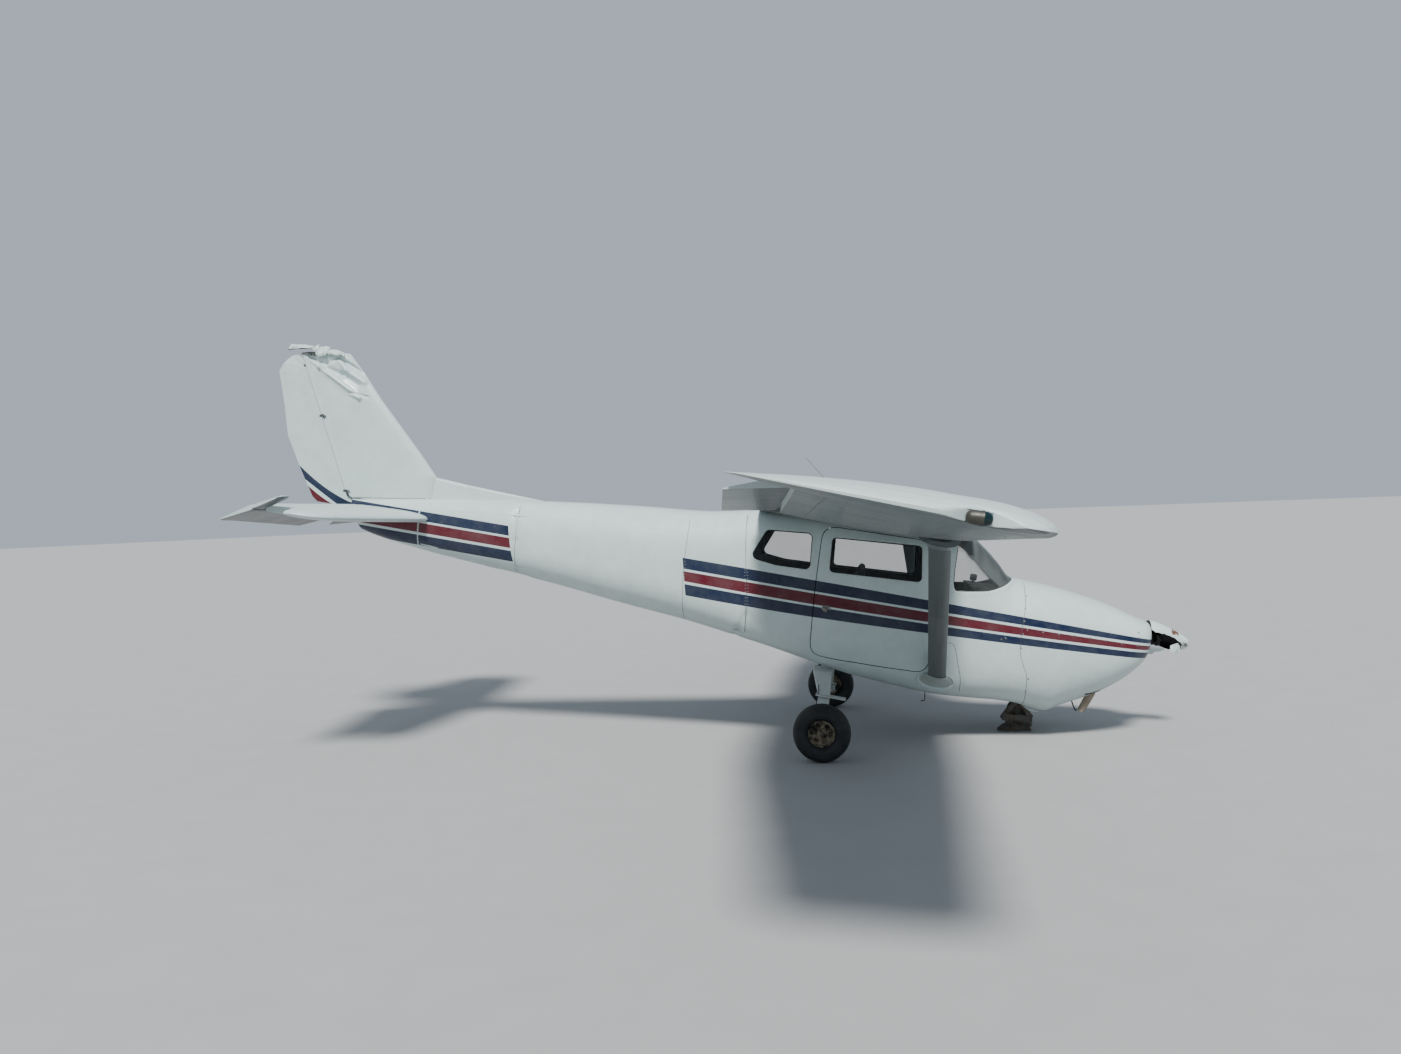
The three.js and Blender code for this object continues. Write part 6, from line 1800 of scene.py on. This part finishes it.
dials = [(y, z, 39) for z in (1135, 1048) for y in (330, 235, 140)]
dials += [(y, z, 28) for z in (1140, 1075) for y in (-180, -250, -320)]
dials += [(42, 1130, 34), (-40, 1130, 30), (420, 1090, 26)]
bezels, discs = [], []
turn, k = round_angles(40), np.arange(40)
fan = np.stack([np.zeros(40, int), 1 + (k + 1) % 40, 1 + k], 1)
for y, z, radius in dials:
    x = panel_x(z) - 0.4
    bezels.append(spun([(radius + 6, 0), (radius + 6, 5), (radius + 3, 8), (radius, 8), (radius, 2)],
                       (x, y, z), backward, 40, closed=True))
    edge = np.stack([np.full(40, x - 3), y + radius * np.cos(turn), z + radius * np.sin(turn)], 1)
    discs.append((np.vstack([[(x - 3, y, z)], edge]), fan))
as_piece("panel_bezels", *joined(bezels), trim_finish, "airframe", "black_trim", 30)
dial_piece = as_piece("panel_dials", *joined(discs), dial_finish, "airframe", "black_trim", 180)
for key, values in (("dial_u", np.cos(turn)), ("dial_v", np.sin(turn))):
    values = np.tile([0.0, *values], len(dials))
    dial_piece.data.attributes.new(key, "FLOAT", "POINT").data.foreach_set("value", values)
radio_rows = (940, 984, 1028)
stack = [rounded_box((-486, -105, z), (-466, 85, z + 38), 4) for z in radio_rows]
stack += [spun([(9, 0), (8, 14), (1, 15)], (-485, y, z + 19), backward, 16)
          for z in radio_rows for y in (-88, 68)]
knobs = [spun([(5, 0), (5, 30), (13, 32), (13, 40), (1, 42)], (panel_x(925), y, 925), backward, 20)
         for y in (10, 60, -50, 130)]
switches = [rounded_box((-466, y, 912), (-452, y + 12, 936), 3) for y in range(250, 400, 22)]
as_piece("panel_controls", *joined([*stack, *knobs, *switches]), trim_finish, "airframe", "black_trim", 30)

# Hood and compass: a padded black shelf over the panel, and a small compass behind the windshield.
hood_t = round_angles(28)
hood_x, hood_z = -412 + 74 * np.cos(hood_t), 1196 + 11 * np.sin(hood_t)
hood = skinned([np.stack([hood_x, np.full(28, y), hood_z + 9 * math.cos(y / 300) * (np.sin(hood_t) > 0)], 1)
                for y in np.linspace(-440, 440, 24)])
compass_case = spun([(1, -30), (22, -28), (28, -18), (28, 16), (24, 24), (1, 26)], (-450, 0, 1262),
                    backward, 28)
compass_stem = rounded_box((-456, -7, 1204), (-442, 7, 1240), 3)
as_piece("panel_hood", *joined([hood, compass_case, compass_stem]), trim_finish, "airframe",
         "black_trim", 40)

# Control wheels: black moulded yokes with horns that turn up, on shafts that come out of the panel.
for side, word in both_sides:
    a = np.radians(np.linspace(145, 395, 60))
    rim_path = np.stack([np.full(60, -590.0), 225 + 130 * np.cos(a), 1040 + 104 * np.sin(a)], 1)
    grip = 9.5 + 2.2 * np.exp(-((np.linspace(-1, 1, 60)[:, None, None] ** 2 - 0.62) / 0.2) ** 2)
    rings = rim_path[:, None] + (tube_along(rim_path, 1.0, 16) - rim_path[:, None]) * grip
    bar = rounded_box((-599, 104, 1018), (-581, 346, 1052), 7)
    centre = spun([(34, -598), (38, -594), (38, -582), (30, -578), (15, -570), (14, -470.5)],
                  (0, 225, 1036), forward, 32)
    wheel = as_piece(f"yoke_{word}", *joined([skinned(rings), bar, centre]), trim_finish, "airframe",
                     "black_trim", 35, side)
    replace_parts(wheel, f"control_wheel_{word}")

# Front chairs and rear bench: padded cushions in faded blue grey cloth, with stitched channels, on
# steel legs.


def seat_cloth(start):
    place = start.place()
    weave = start.noise(place, 320.0, 2.0, 0.8)
    faded = start.noise(place, 5.0, 5.0, 0.6)
    cloth = faded.pick((0.016, 0.020, 0.028, 1), (0.050, 0.056, 0.066, 1))
    return {"Base Color": (weave * 0.4).pick(cloth, (0.10, 0.105, 0.11, 1)), "Roughness": 0.92,
            "Sheen Weight": 0.3, "Normal": weave.bump(0.0015, 0.7)}


cloth_finish = finish_of("seat_cloth", seat_cloth)


def cushion(centre, half, lean, channels):
    """A padded block: a rounded box that swells on its broad faces, with stitched channels across.
    Its thickness is the third half size, and lean turns it about y."""
    def power(base, exponent):
        return np.sign(base) * np.abs(base) ** exponent

    rows, columns = 41, 60
    u = round_angles(columns)[None]
    v = np.linspace(-np.pi / 2, np.pi / 2, rows)[:, None]
    x = power(np.cos(v), 0.25) * power(np.cos(u), 0.22)
    y = power(np.cos(v), 0.25) * power(np.sin(u), 0.22)
    z = power(np.sin(v), 0.55) * np.ones_like(u)
    swell = (1 - x ** 4) * (1 - y ** 4)
    seam = np.abs(np.cos(y * np.pi * channels / 2)) ** 0.25
    z = z * (0.80 + 0.20 * swell) * (0.93 + 0.07 * seam)
    p = np.stack([x * half[0], y * half[1], z * half[2]], -1)
    c, s = math.cos(lean), math.sin(lean)
    p = np.stack([p[..., 0] * c + p[..., 2] * s, p[..., 1], p[..., 2] * c - p[..., 0] * s], -1)
    points = (p + centre).reshape(-1, 3)
    faces = grid_faces(rows, columns, False, True)
    return points, turned_out(points, faces)


def chair_frame(y, xs, half):
    """Round steel legs and rails under a cushion, the legs standing on the sloping floor."""
    floor = {x: np.interp(-x, (60, 1300, 1700, 2600), (462, 470, 520, 665)) + 0.5 for x in xs}
    legs = [spun([(13, 0), (13, 630 - z), (1, 630 - z)], (x, y + s * half, z), (0, 0, 1), 16)
            for x, z in floor.items() for s in (-1, 1)]
    rails = [spun([(11, 0), (11, xs[1] - xs[0])], (xs[0], y + s * half, 606), forward, 16) for s in (-1, 1)]
    return joined(legs + rails)


def upholstered(name, centre, half, lean, channels, node):
    """One padded cushion of a node."""
    shape = cushion(centre, half, lean, channels)
    piece = as_piece(name, *shape, cloth_finish, "airframe", "upholstery", 80)
    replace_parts(piece, node)


for y, word in ((240.0, "left"), (-240.0, "right")):
    upholstered(f"chair_cushion_{word}", (-1105, y, 670), (226, 216, 52), 0.0, 4, f"chair_{word}")
    upholstered(f"chair_back_{word}", (-1402, y, 957), (262, 208, 40), math.radians(-79), 4, f"chair_{word}")
    legs = as_piece(f"chair_frame_{word}", *chair_frame(y, (-1280, -930), 170), steel_finish, "airframe",
                    "bare_steel", 40)
    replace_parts(legs, f"chair_{word}")
upholstered("bench_cushion", (-2025, 0, 680), (206, 381, 52), 0.0, 8, "rear_bench")
upholstered("bench_back", (-2265, 0, 942), (248, 376, 38), math.radians(-76), 8, "rear_bench")
legs = as_piece("bench_frame", *chair_frame(0, (-2180, -1880), 300), steel_finish, "airframe",
                "bare_steel", 40)
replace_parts(legs, "rear_bench")

# Door handles and elevator tube: a bare metal lever in each door's skin, and the steel torque tube.
for side, word in both_sides:
    (p,) = side_point(np.array([-1585.0]), np.array([862.0]), np.array([1.0]))
    pan = skinned([p + np.array([[r * math.cos(a), h, 0.62 * r * math.sin(a)] for a in
                                 round_angles(36)]) for r, h in
                   ((44, -3), (44, 1.2), (40, 2.4), (1, 2.4))])
    lever = skinned([p + np.array([[x, 4 + 9 * math.sin(min(1, (x + 34) / 60) * 3.1) + 4 * math.cos(a),
                                    7 * math.sin(a)] for a in round_angles(14)])
                     for x in np.linspace(-34, 34, 20)])
    as_piece(f"door_handle_{word}", *joined([pan, lever]), screw_finish, f"door_{word}", "bare_steel",
             40, side)
repaint("elevator_tube", steel_finish)
